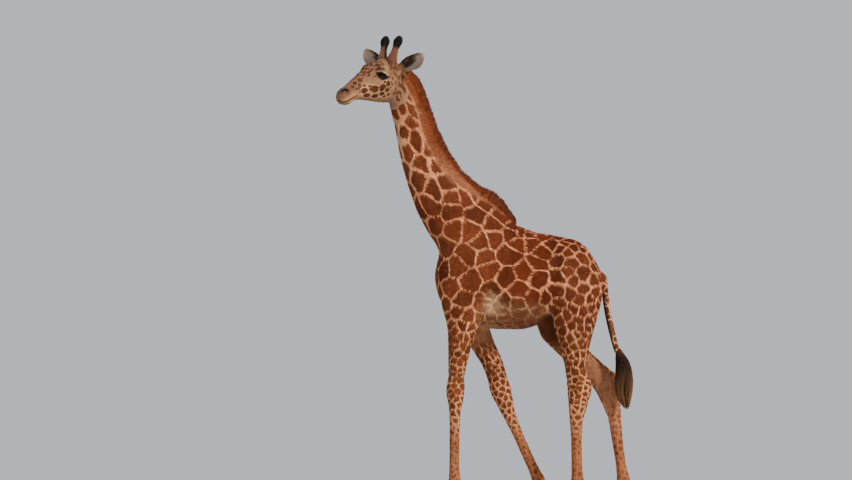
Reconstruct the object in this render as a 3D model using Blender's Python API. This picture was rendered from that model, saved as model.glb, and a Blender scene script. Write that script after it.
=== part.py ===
"""A young reticulated giraffe, life size, in mid stride: about 2.6 m tall, some eight months old.

The animal faces -X with its left side towards -Y, and its hooves stand on Z = 0. The flesh is
lofted from stations, joined into one smooth body and parted with thin cuts. Ears, ossicones,
eyes, mane, tail and hooves are solids of their own that meet it across a thin gap.
"""

import math

import bmesh
import bpy
import numpy as np
from mathutils import Matrix, Vector

GAP = 0.0004  # clearance between neighbouring solids
HOOF_TOP = 0.045  # height of the coronet, where each leg meets its hoof
# Levels of a hoof: (height, share of its length to each end, half width).
HOOF_LEVELS = ((0.0, 0.5, 0.047), (0.012, 0.49, 0.046), (0.030, 0.43, 0.042), (HOOF_TOP, 0.38, 0.038))
HOOF_RING = 20
HOOF_LEAN = 0.10  # how much the wall slopes back as it rises
CLEFT_DEPTH = 0.016
CLEFT_WIDTH = 0.22  # as a share of the hoof's half width
VOXEL = 0.010  # grain of the joined body before it is thinned
BODY_TRIANGLES = 4350
SIDE_SIGN = {"left": -1.0, "right": 1.0}

# The head has a frame of its own: forward along its jaw line, left and up.
HEAD_ORIGIN = Vector((-0.814, -0.125, 2.406))  # midway between the eyes
HEAD_YAW = math.radians(40)  # turned towards the animal's left
EYE_CENTRE = (-0.012, 0.073, 0.001)
EYE_RADIUS = 0.0225
OSSICONE_BASE = (-0.095, 0.0345, 0.046)
OSSICONE_LENGTH = 0.185
OSSICONE_LEAN = math.radians(17)  # backwards from upright
OSSICONE_SPREAD = math.radians(8)  # outwards from upright
# Along an ossicone: (share of its length, radius).
OSSICONE_PROFILE = (
    (0.0, 0.035), (0.24, 0.032), (0.34, 0.0255), (0.48, 0.0205), (0.62, 0.0200),
    (0.72, 0.0245), (0.82, 0.0280), (0.91, 0.0245), (0.97, 0.015), (1.0, 0.006),
)
OSSICONE_RING = 12
EAR_BASE = (-0.145, 0.045, 0.028)
EAR_LENGTH = 0.202
EAR_WALL = 0.005
EAR_ARC = 8  # steps round the cup
# Stations of an ear: (share of its length, half width, depth of the cup, height over the axis).
EAR_STATIONS = (
    (0.0, 0.022, 0.022, 0.003), (0.12, 0.029, 0.027, 0.005), (0.25, 0.035, 0.028, 0.005),
    (0.41, 0.041, 0.026, 0.001), (0.57, 0.045, 0.021, -0.006), (0.73, 0.044, 0.015, -0.011),
    (0.87, 0.034, 0.010, -0.009), (0.96, 0.020, 0.007, -0.003), (1.0, 0.008, 0.005, 0.0),
)
# How far each ear is turned back and raised.
EAR_TURN = {
    "left": (math.radians(12), math.radians(27)),
    "right": (math.radians(-12), math.radians(37)),
}

# A station of a loft: (near end of the section, far end of it, half width, taper, side offset).
# The two ends are points in the plane of symmetry, and taper narrows the section's near end.
# Neck and trunk run from the poll to the buttocks, from the dorsal line to the ventral one.
TORSO = (
    ((-0.632, 2.430), (-0.704, 2.343), 0.044, 0.10, -0.030),
    ((-0.583, 2.365), (-0.722, 2.275), 0.054, 0.10, -0.026),
    ((-0.545, 2.283), (-0.713, 2.222), 0.058, 0.10, -0.020),
    ((-0.495, 2.172), (-0.690, 2.112), 0.061, 0.12, -0.012),
    ((-0.462, 2.078), (-0.671, 2.002), 0.067, 0.12, -0.006),
    ((-0.404, 1.976), (-0.643, 1.886), 0.075, 0.15, -0.002),
    ((-0.322, 1.866), (-0.609, 1.772), 0.086, 0.18, 0.0),
    ((-0.225, 1.776), (-0.565, 1.656), 0.100, 0.22, 0.0),
    ((-0.132, 1.705), (-0.508, 1.546), 0.118, 0.28, 0.0),
    ((-0.066, 1.642), (-0.450, 1.444), 0.136, 0.32, 0.0),
    ((-0.033, 1.607), (-0.470, 1.309), 0.152, 0.32, 0.0),
    ((0.000, 1.587), (-0.440, 1.170), 0.166, 0.32, 0.0),
    ((0.038, 1.570), (-0.341, 1.066), 0.180, 0.30, 0.0),
    ((0.088, 1.554), (-0.209, 1.023), 0.200, 0.26, 0.0),
    ((0.143, 1.543), (-0.066, 1.012), 0.214, 0.22, 0.0),
    ((0.204, 1.532), (0.055, 1.022), 0.214, 0.18, 0.0),
    ((0.264, 1.521), (0.154, 1.080), 0.200, 0.12, 0.0),
    ((0.319, 1.504), (0.253, 1.145), 0.182, 0.08, 0.0),
    ((0.374, 1.458), (0.357, 1.190), 0.150, 0.05, 0.0),
    ((0.424, 1.381), (0.430, 1.232), 0.095, 0.0, 0.0),
    ((0.449, 1.328), (0.451, 1.272), 0.040, 0.0, 0.0),
)
# Each leg runs from inside the trunk to the coronet, from its front edge to its rear one.
FORELEG_LEFT = (
    ((-0.415, 1.350), (-0.200, 1.372), 0.050, 0.0, -0.090),
    ((-0.448, 1.232), (-0.187, 1.232), 0.066, 0.0, -0.108),
    ((-0.434, 1.133), (-0.192, 1.122), 0.068, 0.0, -0.116),
    ((-0.410, 1.056), (-0.220, 1.034), 0.062, 0.05, -0.122),
    ((-0.400, 0.979), (-0.248, 0.968), 0.054, 0.05, -0.125),
    ((-0.399, 0.902), (-0.274, 0.891), 0.048, 0.05, -0.126),
    ((-0.396, 0.825), (-0.292, 0.820), 0.043, 0.0, -0.126),
    ((-0.397, 0.753), (-0.306, 0.753), 0.041, -0.05, -0.126),
    ((-0.402, 0.688), (-0.306, 0.688), 0.043, -0.10, -0.126),
    ((-0.398, 0.622), (-0.311, 0.622), 0.037, -0.05, -0.127),
    ((-0.391, 0.555), (-0.325, 0.555), 0.029, 0.0, -0.128),
    ((-0.390, 0.434), (-0.331, 0.434), 0.026, 0.0, -0.130),
    ((-0.391, 0.270), (-0.332, 0.270), 0.026, 0.0, -0.132),
    ((-0.395, 0.198), (-0.325, 0.192), 0.030, 0.0, -0.133),
    ((-0.405, 0.148), (-0.320, 0.140), 0.036, 0.0, -0.134),
    ((-0.420, 0.094), (-0.346, 0.078), 0.032, 0.0, -0.135),
    ((-0.434, 0.050), (-0.350, 0.038), 0.038, 0.0, -0.136),
    ((-0.440, 0.024), (-0.354, 0.018), 0.039, 0.0, -0.136),
)
FORELEG_RIGHT = (
    ((-0.415, 1.350), (-0.200, 1.372), 0.050, 0.0, 0.090),
    ((-0.446, 1.232), (-0.176, 1.232), 0.065, 0.0, 0.108),
    ((-0.402, 1.128), (-0.165, 1.144), 0.066, 0.0, 0.116),
    ((-0.352, 1.034), (-0.165, 1.062), 0.060, 0.05, 0.121),
    ((-0.297, 0.952), (-0.153, 0.990), 0.054, 0.05, 0.124),
    ((-0.250, 0.880), (-0.127, 0.924), 0.047, 0.05, 0.125),
    ((-0.209, 0.814), (-0.096, 0.852), 0.042, 0.0, 0.125),
    ((-0.181, 0.743), (-0.075, 0.776), 0.041, -0.05, 0.125),
    ((-0.158, 0.666), (-0.054, 0.700), 0.043, -0.10, 0.125),
    ((-0.132, 0.605), (-0.037, 0.638), 0.037, -0.05, 0.126),
    ((-0.099, 0.539), (-0.027, 0.572), 0.029, 0.0, 0.127),
    ((-0.040, 0.429), (0.015, 0.454), 0.026, 0.0, 0.129),
    ((0.034, 0.264), (0.088, 0.289), 0.026, 0.0, 0.131),
    ((0.058, 0.204), (0.120, 0.230), 0.030, 0.0, 0.132),
    ((0.070, 0.150), (0.150, 0.166), 0.036, 0.0, 0.133),
    ((0.062, 0.094), (0.132, 0.090), 0.032, 0.0, 0.134),
    ((0.050, 0.050), (0.136, 0.040), 0.038, 0.0, 0.135),
    ((0.046, 0.024), (0.134, 0.018), 0.039, 0.0, 0.135),
)
HINDLEG_LEFT = (
    ((0.220, 1.395), (0.415, 1.360), 0.060, 0.0, -0.085),
    ((0.166, 1.262), (0.459, 1.266), 0.082, 0.0, -0.104),
    ((0.162, 1.166), (0.448, 1.166), 0.084, 0.0, -0.110),
    ((0.170, 1.078), (0.426, 1.078), 0.078, 0.05, -0.115),
    ((0.189, 0.990), (0.400, 0.990), 0.067, 0.10, -0.118),
    ((0.219, 0.902), (0.378, 0.902), 0.055, 0.15, -0.120),
    ((0.239, 0.830), (0.364, 0.836), 0.046, 0.15, -0.121),
    ((0.250, 0.764), (0.368, 0.776), 0.042, 0.10, -0.121),
    ((0.256, 0.704), (0.388, 0.720), 0.041, 0.05, -0.121),
    ((0.260, 0.644), (0.384, 0.649), 0.039, 0.0, -0.121),
    ((0.264, 0.583), (0.366, 0.583), 0.034, 0.0, -0.122),
    ((0.269, 0.517), (0.347, 0.517), 0.029, 0.0, -0.123),
    ((0.277, 0.407), (0.339, 0.407), 0.027, 0.0, -0.124),
    ((0.279, 0.270), (0.342, 0.270), 0.027, 0.0, -0.126),
    ((0.278, 0.204), (0.350, 0.198), 0.030, 0.0, -0.127),
    ((0.268, 0.150), (0.354, 0.142), 0.036, 0.0, -0.128),
    ((0.252, 0.094), (0.328, 0.078), 0.032, 0.0, -0.129),
    ((0.238, 0.050), (0.322, 0.038), 0.038, 0.0, -0.130),
    ((0.232, 0.024), (0.318, 0.018), 0.039, 0.0, -0.130),
)
HINDLEG_RIGHT = (
    ((0.205, 1.395), (0.405, 1.360), 0.060, 0.0, 0.085),
    ((0.128, 1.260), (0.450, 1.270), 0.082, 0.0, 0.104),
    ((0.097, 1.150), (0.429, 1.160), 0.084, 0.0, 0.110),
    ((0.086, 1.050), (0.385, 1.056), 0.076, 0.05, 0.115),
    ((0.118, 0.966), (0.334, 1.000), 0.065, 0.10, 0.118),
    ((0.198, 0.888), (0.330, 0.968), 0.055, 0.15, 0.120),
    ((0.286, 0.806), (0.380, 0.902), 0.047, 0.15, 0.121),
    ((0.352, 0.745), (0.443, 0.842), 0.043, 0.10, 0.121),
    ((0.396, 0.698), (0.502, 0.792), 0.041, 0.05, 0.121),
    ((0.424, 0.658), (0.545, 0.752), 0.040, 0.0, 0.121),
    ((0.443, 0.620), (0.555, 0.671), 0.038, 0.0, 0.121),
    ((0.465, 0.572), (0.558, 0.605), 0.033, 0.0, 0.122),
    ((0.486, 0.517), (0.561, 0.533), 0.029, 0.0, 0.123),
    ((0.503, 0.418), (0.568, 0.429), 0.027, 0.0, 0.124),
    ((0.525, 0.286), (0.584, 0.292), 0.027, 0.0, 0.126),
    ((0.532, 0.209), (0.602, 0.214), 0.030, 0.0, 0.127),
    ((0.530, 0.154), (0.614, 0.158), 0.036, 0.0, 0.128),
    ((0.522, 0.094), (0.598, 0.084), 0.032, 0.0, 0.129),
    ((0.514, 0.050), (0.600, 0.040), 0.038, 0.0, 0.130),
    ((0.510, 0.024), (0.598, 0.018), 0.039, 0.0, 0.130),
)
# The head runs from inside the neck to the lips, from the top of the skull to the jaw.
HEAD = (
    ((-0.205, 0.060), (-0.190, -0.060), 0.046, 0.10, 0.0),
    ((-0.165, 0.086), (-0.158, -0.115), 0.062, 0.10, 0.0),
    ((-0.110, 0.100), (-0.112, -0.144), 0.074, 0.05, 0.0),
    ((-0.050, 0.094), (-0.052, -0.145), 0.080, -0.15, 0.0),
    ((0.000, 0.071), (0.000, -0.141), 0.080, -0.30, 0.0),
    ((0.045, 0.045), (0.045, -0.136), 0.068, -0.18, 0.0),
    ((0.090, 0.016), (0.090, -0.132), 0.055, -0.05, 0.0),
    ((0.135, -0.013), (0.136, -0.136), 0.046, 0.10, 0.0),
    ((0.175, -0.042), (0.168, -0.155), 0.042, 0.10, 0.0),
    ((0.208, -0.066), (0.198, -0.161), 0.041, 0.05, 0.0),
    ((0.232, -0.088), (0.220, -0.155), 0.036, 0.0, 0.0),
    ((0.247, -0.108), (0.237, -0.143), 0.024, 0.0, 0.0),
)
TAIL = (
    ((0.385, 1.325), (0.425, 1.352), 0.030, 0.0, 0.0),
    ((0.425, 1.295), (0.471, 1.312), 0.023, 0.0, 0.0),
    ((0.446, 1.230), (0.485, 1.238), 0.020, 0.0, 0.0),
    ((0.457, 1.148), (0.495, 1.155), 0.019, 0.0, 0.0),
    ((0.474, 1.055), (0.511, 1.062), 0.018, 0.0, 0.0),
    ((0.498, 0.957), (0.533, 0.966), 0.016, 0.0, 0.0),
    ((0.518, 0.890), (0.550, 0.902), 0.014, 0.0, 0.0),
)
TAIL_TUFT = (
    ((0.524, 0.887), (0.552, 0.898), 0.014, 0.0, 0.0),
    ((0.522, 0.862), (0.574, 0.884), 0.024, 0.0, 0.0),
    ((0.520, 0.820), (0.606, 0.840), 0.034, 0.0, 0.0),
    ((0.516, 0.765), (0.624, 0.778), 0.040, 0.0, 0.0),
    ((0.512, 0.705), (0.626, 0.706), 0.040, 0.0, 0.0),
    ((0.524, 0.645), (0.614, 0.636), 0.032, 0.0, 0.0),
    ((0.550, 0.600), (0.604, 0.594), 0.018, 0.0, 0.0),
    ((0.575, 0.580), (0.592, 0.578), 0.005, 0.0, 0.0),
)
# The mane runs from the poll to the withers, from its hair tips to just under the skin.
MANE = (
    ((-0.645, 2.496), (-0.680, 2.455), 0.010, 0.45, -0.004),
    ((-0.622, 2.468), (-0.656, 2.430), 0.012, 0.45, -0.018),
    ((-0.590, 2.430), (-0.628, 2.400), 0.014, 0.45, -0.030),
    ((-0.556, 2.396), (-0.608, 2.352), 0.017, 0.45, -0.028),
    ((-0.522, 2.328), (-0.574, 2.298), 0.019, 0.45, -0.023),
    ((-0.484, 2.222), (-0.532, 2.196), 0.020, 0.45, -0.015),
    ((-0.446, 2.112), (-0.496, 2.086), 0.021, 0.45, -0.008),
    ((-0.391, 2.002), (-0.446, 1.968), 0.022, 0.45, -0.003),
    ((-0.319, 1.892), (-0.364, 1.850), 0.022, 0.45, 0.0),
    ((-0.215, 1.804), (-0.252, 1.752), 0.022, 0.45, 0.0),
    ((-0.138, 1.771), (-0.180, 1.690), 0.024, 0.45, 0.0),
    ((-0.088, 1.722), (-0.122, 1.650), 0.024, 0.45, 0.0),
    ((-0.047, 1.660), (-0.080, 1.615), 0.022, 0.45, 0.0),
    ((-0.012, 1.612), (-0.040, 1.585), 0.014, 0.45, 0.0),
)
# Swellings of bone and muscle: (centre, reach, height), mirrored unless the centre is on y = 0.
TORSO_SWELLINGS = (
    ((-0.40, 0.15, 1.30), 0.13, 0.014),  # point of the shoulder
    ((-0.18, 0.15, 1.42), 0.16, 0.012),  # shoulder blade
    ((-0.24, 0.17, 1.12), 0.09, 0.008),  # elbow
    ((0.21, 0.16, 1.45), 0.08, 0.012),  # point of the hip
    ((0.33, 0.17, 1.24), 0.15, 0.010),  # haunch
    ((0.14, 0.20, 1.33), 0.12, -0.014),  # hollow of the flank
    ((-0.30, 0.12, 1.52), 0.12, -0.006),  # hollow before the shoulder blade
)
HEAD_SWELLINGS = (
    ((0.004, 0.090, 0.038), 0.050, 0.018),  # orbit
    ((-0.012, 0.068, 0.062), 0.042, 0.018),  # brow
    ((-0.050, 0.078, -0.060), 0.060, 0.006),  # cheek
    ((0.075, 0.062, -0.050), 0.060, -0.006),  # hollow before the cheek
    ((0.205, 0.040, -0.085), 0.040, 0.004),  # nostril
    ((0.190, 0.020, -0.146), 0.032, 0.004),  # lower lip
    ((-0.100, 0.040, 0.098), 0.050, 0.010),  # ossicone root
)
HEAD_CUT = ((-0.652, 0.0, 2.330), (0.68, 0.20, -0.70))  # behind the jaw and the ears
NECK_CUT = ((-0.2475, 0.0, 1.540), (0.457, 0.0, -0.889))  # breast to withers
# Per leg: its stations, a place and a way out for the plane at the trunk's side of it, and a place
# and a tilt for the plane through its knee or hock.
LEGS = {
    "foreleg_left": (FORELEG_LEFT, (-0.170, 1.05), (1.0, 0.0, 0.0), (-0.354, 0.690), 0.0),
    "foreleg_right": (FORELEG_RIGHT, (-0.118, 1.05), (0.938, 0.0, 0.347), (-0.106, 0.684), 0.31),
    "hindleg_left": (HINDLEG_LEFT, (0.155, 1.05), (-1.0, 0.0, 0.0), (0.322, 0.700), 0.0),
    "hindleg_right": (HINDLEG_RIGHT, (0.072, 1.05), (-1.0, 0.0, 0.0), (0.486, 0.712), 0.66),
}
HOOF_TOES = {
    "foreleg_left": (-0.462, -0.346),
    "foreleg_right": (0.022, 0.138),
    "hindleg_left": (0.208, 0.324),
    "hindleg_right": (0.486, 0.602),
}
LEG_DIVIDE = 0.20  # the X that lies between forelegs and hind legs
MIDDLE_STRIP = 0.01  # half the width of the strip that no leg crosses
WEDGE_FOOT = 0.028  # half the width of the strip of breast and groin left to the trunk
WEDGE_HEIGHT = {"foreleg": 1.03, "hindleg": 1.06}
WEDGE_SLOPE = {"foreleg": (0.889, 0.458), "hindleg": (0.917, 0.399)}


def clear_scene():
    """Removes whatever the file holds."""
    for other in list(bpy.data.objects):
        bpy.data.objects.remove(other, do_unlink=True)


def finish(name, colour, roughness):
    """A plain Principled material."""
    made = bpy.data.materials.new(name)
    made.use_nodes = True
    shader = made.node_tree.nodes["Principled BSDF"]
    shader.inputs["Base Color"].default_value = (*colour, 1.0)
    shader.inputs["Roughness"].default_value = roughness
    shader.inputs["Metallic"].default_value = 0.0
    return made


def add_object(name, mesh, material=None):
    """Links a new object for the mesh."""
    made = bpy.data.objects.new(name, mesh)
    bpy.context.scene.collection.objects.link(made)
    if material:
        mesh.materials.clear()
        mesh.materials.append(material)
    return made


def smooth_rows(rows, steps):
    """Rows eased through the given ones with cubic spans, steps rows to each span."""
    flat = np.array([[*near, *far, width, taper, side] for near, far, width, taper, side in rows])
    slopes = np.gradient(flat, axis=0)
    found = []
    for i in range(len(flat) - 1):
        for k in range(steps):
            t = k / steps
            found.append(
                (2 * t**3 - 3 * t**2 + 1) * flat[i]
                + (t**3 - 2 * t**2 + t) * slopes[i]
                + (3 * t**2 - 2 * t**3) * flat[i + 1]
                + (t**3 - t**2) * slopes[i + 1]
            )
    return np.array(found + [flat[-1]])


def section(row, sides):
    """The closed ring of one station."""
    near, far = row[0:2], row[2:4]
    width, taper, side = row[4:7]
    centre, reach = (near + far) / 2, (near - far) / 2
    ring = []
    for k in range(sides):
        turn = 2 * math.pi * k / sides
        x, z = centre + reach * math.cos(turn)
        y = side + width * math.sin(turn) * (1 - taper * math.cos(turn))
        ring.append(Vector((x, y, z)))
    return ring


def loft(rings):
    """A closed mesh through rings of equal count, with a flat cap at each end."""
    shape = bmesh.new()
    loops = [[shape.verts.new(point) for point in ring] for ring in rings]
    for first, second in zip(loops, loops[1:]):
        count = len(first)
        for k in range(count):
            shape.faces.new((first[k], first[(k + 1) % count], second[(k + 1) % count], second[k]))
    shape.faces.new(loops[0][::-1])
    shape.faces.new(loops[-1])
    bmesh.ops.recalc_face_normals(shape, faces=shape.faces)
    mesh = bpy.data.meshes.new("loft")
    shape.to_mesh(mesh)
    shape.free()
    return mesh


def loft_rows(rows, steps, sides):
    """A loft through stations."""
    return loft([section(row, sides) for row in smooth_rows(rows, steps)])


def head_matrix():
    """From the head's frame (forward, side, up) to the animal's."""
    return Matrix.Translation(HEAD_ORIGIN) @ Matrix.Rotation(HEAD_YAW + math.pi, 4, "Z")


def head_point(forward, side, up, sign):
    """A point of the head by its distances forward, to one side and up; sign picks the side."""
    return head_matrix() @ Vector((forward, -side * sign, up))


def merged(meshes):
    """All meshes in one."""
    shape = bmesh.new()
    for mesh in meshes:
        shape.from_mesh(mesh)
    mesh = bpy.data.meshes.new("joined")
    shape.to_mesh(mesh)
    shape.free()
    return mesh


def evaluated(obj):
    """A new mesh of the object with its modifiers applied; the object is removed."""
    graph = bpy.context.evaluated_depsgraph_get()
    graph.update()
    mesh = bpy.data.meshes.new_from_object(obj.evaluated_get(graph))
    bpy.data.objects.remove(obj, do_unlink=True)
    return mesh


def relax(mesh, passes, share):
    """Smooths the mesh, each vertex by its own share, without shrinking it as a whole."""
    count = len(mesh.vertices)
    points = np.empty(count * 3)
    mesh.vertices.foreach_get("co", points)
    points = points.reshape(-1, 3)
    edges = np.empty(len(mesh.edges) * 2, np.int64)
    mesh.edges.foreach_get("vertices", edges)
    a, b = edges.reshape(-1, 2).T
    valence = np.maximum(np.bincount(np.concatenate([a, b]), minlength=count), 1)[:, None]
    weight = share(points)[:, None]
    for step in range(2 * passes):
        total = np.zeros_like(points)
        for axis in range(3):
            total[:, axis] = np.bincount(a, points[b, axis], count)
            total[:, axis] += np.bincount(b, points[a, axis], count)
        pull = total / valence - points
        points = points + pull * (weight * 0.55 if step % 2 == 0 else -np.minimum(weight, 0.5) * 0.5)
    mesh.vertices.foreach_set("co", points.ravel())
    mesh.update()


def swell(mesh, centre, reach, height):
    """Raises the surface near a point along its normals, by height at the most."""
    for vertex in mesh.vertices:
        distance = (vertex.co - centre).length / reach
        if distance < 1:
            vertex.co += vertex.normal * height * (1 - distance**2) ** 2


def build_body():
    """The joined flesh of head, neck, trunk and legs as one closed, thinned mesh."""
    head = loft_rows(HEAD, 3, 28)
    head.transform(head_matrix())
    lofts = [loft_rows(TORSO, 3, 40), head]
    lofts += [loft_rows(leg[0], 3, 24) for leg in LEGS.values()]
    whole = add_object("whole", merged(lofts))
    remesh = whole.modifiers.new("join", "REMESH")
    remesh.mode = "VOXEL"
    remesh.voxel_size = VOXEL
    mesh = evaluated(whole)
    # Broad flesh is eased far more than the face and the lower legs.
    relax(mesh, 7, lambda p: np.clip((p[:, 2] - 0.85) / 0.25, 0.25, 1) * np.where(p[:, 2] > 2.2, 0.4, 1))
    for centre, reach, height in TORSO_SWELLINGS:
        for sign in SIDE_SIGN.values():
            swell(mesh, Vector((centre[0], centre[1] * sign, centre[2])), reach, height)
    for centre, reach, height in HEAD_SWELLINGS:
        for sign in SIDE_SIGN.values():
            swell(mesh, head_point(*centre, sign), reach, height)
    body = add_object("body", mesh)
    keep = body.vertex_groups.new(name="coarse")
    for vertex in mesh.vertices:
        height = vertex.co.z
        keep.add([vertex.index], 0.56 if height > 2.2 else 0.62 if height < 0.85 else 1.0, "REPLACE")
    thin = body.modifiers.new("thin", "DECIMATE")
    thin.ratio = BODY_TRIANGLES / (2 * len(mesh.polygons))
    thin.vertex_group = keep.name
    thin.vertex_group_factor = 0.5
    thin.use_collapse_triangulate = True
    return evaluated(body)


def guard_of(mesh):
    """The mesh grown by the gap, to cut its neighbours with."""
    grown = mesh.copy()
    for vertex in grown.vertices:
        vertex.co += vertex.normal * GAP
    return grown


def wedge(planes, gap=0.0):
    """The convex solid behind all the planes, each (point, outward normal), grown by the gap."""
    shape = bmesh.new()
    bmesh.ops.create_cube(shape, size=8.0)
    for point, normal in planes:
        out = Vector(normal).normalized()
        cut = bmesh.ops.bisect_plane(
            shape,
            geom=shape.verts[:] + shape.edges[:] + shape.faces[:],
            plane_co=Vector(point) + out * gap,
            plane_no=out,
            clear_outer=True,
        )
        rim = [item for item in cut["geom_cut"] if isinstance(item, bmesh.types.BMEdge)]
        bmesh.ops.contextual_create(shape, geom=rim)
    bmesh.ops.recalc_face_normals(shape, faces=shape.faces)
    mesh = bpy.data.meshes.new("wedge")
    shape.to_mesh(mesh)
    shape.free()
    return mesh


def carved(mesh, *steps):
    """The mesh after Booleans, each (operation, tool mesh), one after the other."""
    for operation, tool in steps:
        subject = add_object("subject", mesh)
        cutter = add_object("cutter", tool)
        boolean = subject.modifiers.new("cut", "BOOLEAN")
        boolean.operation = operation
        boolean.object = cutter
        mesh = evaluated(subject)
        bpy.data.objects.remove(cutter, do_unlink=True)
    return mesh


def flipped(plane):
    """The same plane with its other side out."""
    point, normal = plane
    return point, tuple(-part for part in normal)


def leg_planes(name):
    """The planes round a leg's share of the body, and the one through its knee or hock."""
    _, (edge_x, edge_z), edge_normal, (knee_x, knee_z), knee_tilt = LEGS[name]
    kind, side = name.split("_")
    sign = SIDE_SIGN[side]
    across, up = WEDGE_SLOPE[kind]
    inner = ((0.0, sign * WEDGE_FOOT, WEDGE_HEIGHT[kind]), (0.0, -sign * across, up))
    outer = ((edge_x, 0.0, edge_z), edge_normal)
    knee = ((knee_x, 0.0, knee_z), (-math.sin(knee_tilt), 0.0, math.cos(knee_tilt)))
    middle = ((0.0, sign * MIDDLE_STRIP, 0.0), (0.0, -sign, 0.0))
    between = ((LEG_DIVIDE, 0.0, 0.0), (1.0 if kind == "foreleg" else -1.0, 0.0, 0.0))
    return inner, outer, knee, middle, between


def build_flesh(body, material):
    """The nodes cut from the body: head, neck, trunk and the two lengths of each leg."""
    planes = {"head": [HEAD_CUT], "neck": [NECK_CUT, flipped(HEAD_CUT)]}
    taken = [("DIFFERENCE", wedge([NECK_CUT], GAP))]
    for name in LEGS:
        inner, outer, knee, middle, between = leg_planes(name)
        planes[f"{name}_upper"] = [inner, outer, middle, flipped(knee)]
        planes[f"{name}_lower"] = [knee, middle, between, ((0, 0, HOOF_TOP + GAP), (0, 0, -1))]
        taken.append(("DIFFERENCE", wedge([inner, outer, middle], GAP)))
    flesh = {name: carved(body.copy(), ("INTERSECT", wedge(faces, -GAP / 2)))
             for name, faces in planes.items()}
    flesh["trunk"] = carved(body.copy(), *taken)
    sockets = [sphere(eye_centre(sign), EYE_RADIUS + 2 * GAP, 14, 8) for sign in SIDE_SIGN.values()]
    flesh["head"] = carved(flesh["head"], *[("DIFFERENCE", socket) for socket in sockets])
    for name, mesh in flesh.items():
        add_object(name, mesh, material)


def eye_centre(sign):
    """The middle of an eyeball."""
    return head_point(*EYE_CENTRE, sign)


def sphere(centre, radius, segments, rings):
    """A plain ball."""
    shape = bmesh.new()
    place = Matrix.Translation(centre)
    bmesh.ops.create_uvsphere(
        shape, u_segments=segments, v_segments=rings, radius=radius, matrix=place
    )
    mesh = bpy.data.meshes.new("ball")
    shape.to_mesh(mesh)
    shape.free()
    return mesh


def ossicone(sign):
    """One horn with its knob of hair, round in section, leaning back and out."""
    lean = Matrix.Rotation(-OSSICONE_LEAN, 4, "Y") @ Matrix.Rotation(sign * OSSICONE_SPREAD, 4, "X")
    rings = []
    for along, radius in OSSICONE_PROFILE:
        ring = [
            Vector((radius * math.cos(a), radius * math.sin(a), along * OSSICONE_LENGTH))
            for a in (2 * math.pi * k / OSSICONE_RING for k in range(OSSICONE_RING))
        ]
        rings.append([lean @ point for point in ring])
    mesh = loft(rings)
    mesh.transform(head_matrix() @ Matrix.Translation((OSSICONE_BASE[0], -sign * OSSICONE_BASE[1],
                                                       OSSICONE_BASE[2])))
    return mesh


def ear(side):
    """One cupped leaf of an ear, open to the front."""
    sign = SIDE_SIGN[side]
    back, rise = EAR_TURN[side]
    along = Vector((-math.sin(back) * math.cos(rise), -sign * math.cos(back) * math.cos(rise),
                    math.sin(rise)))
    across = Vector((0, 0, 1)).cross(along).normalized()
    across = across if across.x > 0 else -across  # forwards: the mouth of the cup
    upright = along.cross(across).normalized()
    upright = upright if upright.z > 0 else -upright
    base = Vector((EAR_BASE[0], -sign * EAR_BASE[1], EAR_BASE[2]))
    rings = []
    for share, half, depth, height in EAR_STATIONS:
        middle = base + along * share * EAR_LENGTH + upright * height
        arc = [math.radians(180 * k / EAR_ARC - 90) for k in range(EAR_ARC + 1)]
        outer = [middle + upright * half * math.sin(a) - across * depth * math.cos(a) for a in arc]
        hollow = max(depth - EAR_WALL, EAR_WALL / 5)
        inner = [
            middle + upright * (half - EAR_WALL) * math.sin(a)
            - across * (hollow * math.cos(a) - EAR_WALL / 2) for a in reversed(arc)
        ]
        rings.append(outer + inner)
    mesh = loft(rings)
    mesh.transform(head_matrix())
    return mesh


def hoof(toe, heel, side):
    """One cloven hoof: a block that flares to a flat sole, with its toe notched."""
    length, middle = heel - toe, (toe + heel) / 2
    rings = []
    for height, reach, width in HOOF_LEVELS:
        lean = HOOF_LEAN * height
        ring = []
        for k in range(HOOF_RING):
            turn = 2 * math.pi * k / HOOF_RING
            x, y = -math.cos(turn), math.sin(turn)
            cleft = CLEFT_DEPTH * math.exp(-((y / CLEFT_WIDTH) ** 2)) if x < 0 else 0.0
            ring.append(Vector((middle + x * length * reach + cleft + lean, side + y * width, height)))
        rings.append(ring)
    return loft(rings)


def rounded(obj):
    """Shades the object smooth except at sharp edges."""
    obj.data.shade_smooth()
    obj.data.set_sharp_from_angle(angle=math.radians(50))


def centre_on_floor(objects):
    """Moves everything so that the middle of its bottom is the origin."""
    points = np.concatenate([np.array([v.co for v in obj.data.vertices]) for obj in objects])
    low, high = points.min(axis=0), points.max(axis=0)
    shift = Matrix.Translation((-(low[0] + high[0]) / 2, -(low[1] + high[1]) / 2, -low[2]))
    for obj in objects:
        obj.data.transform(shift)


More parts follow.
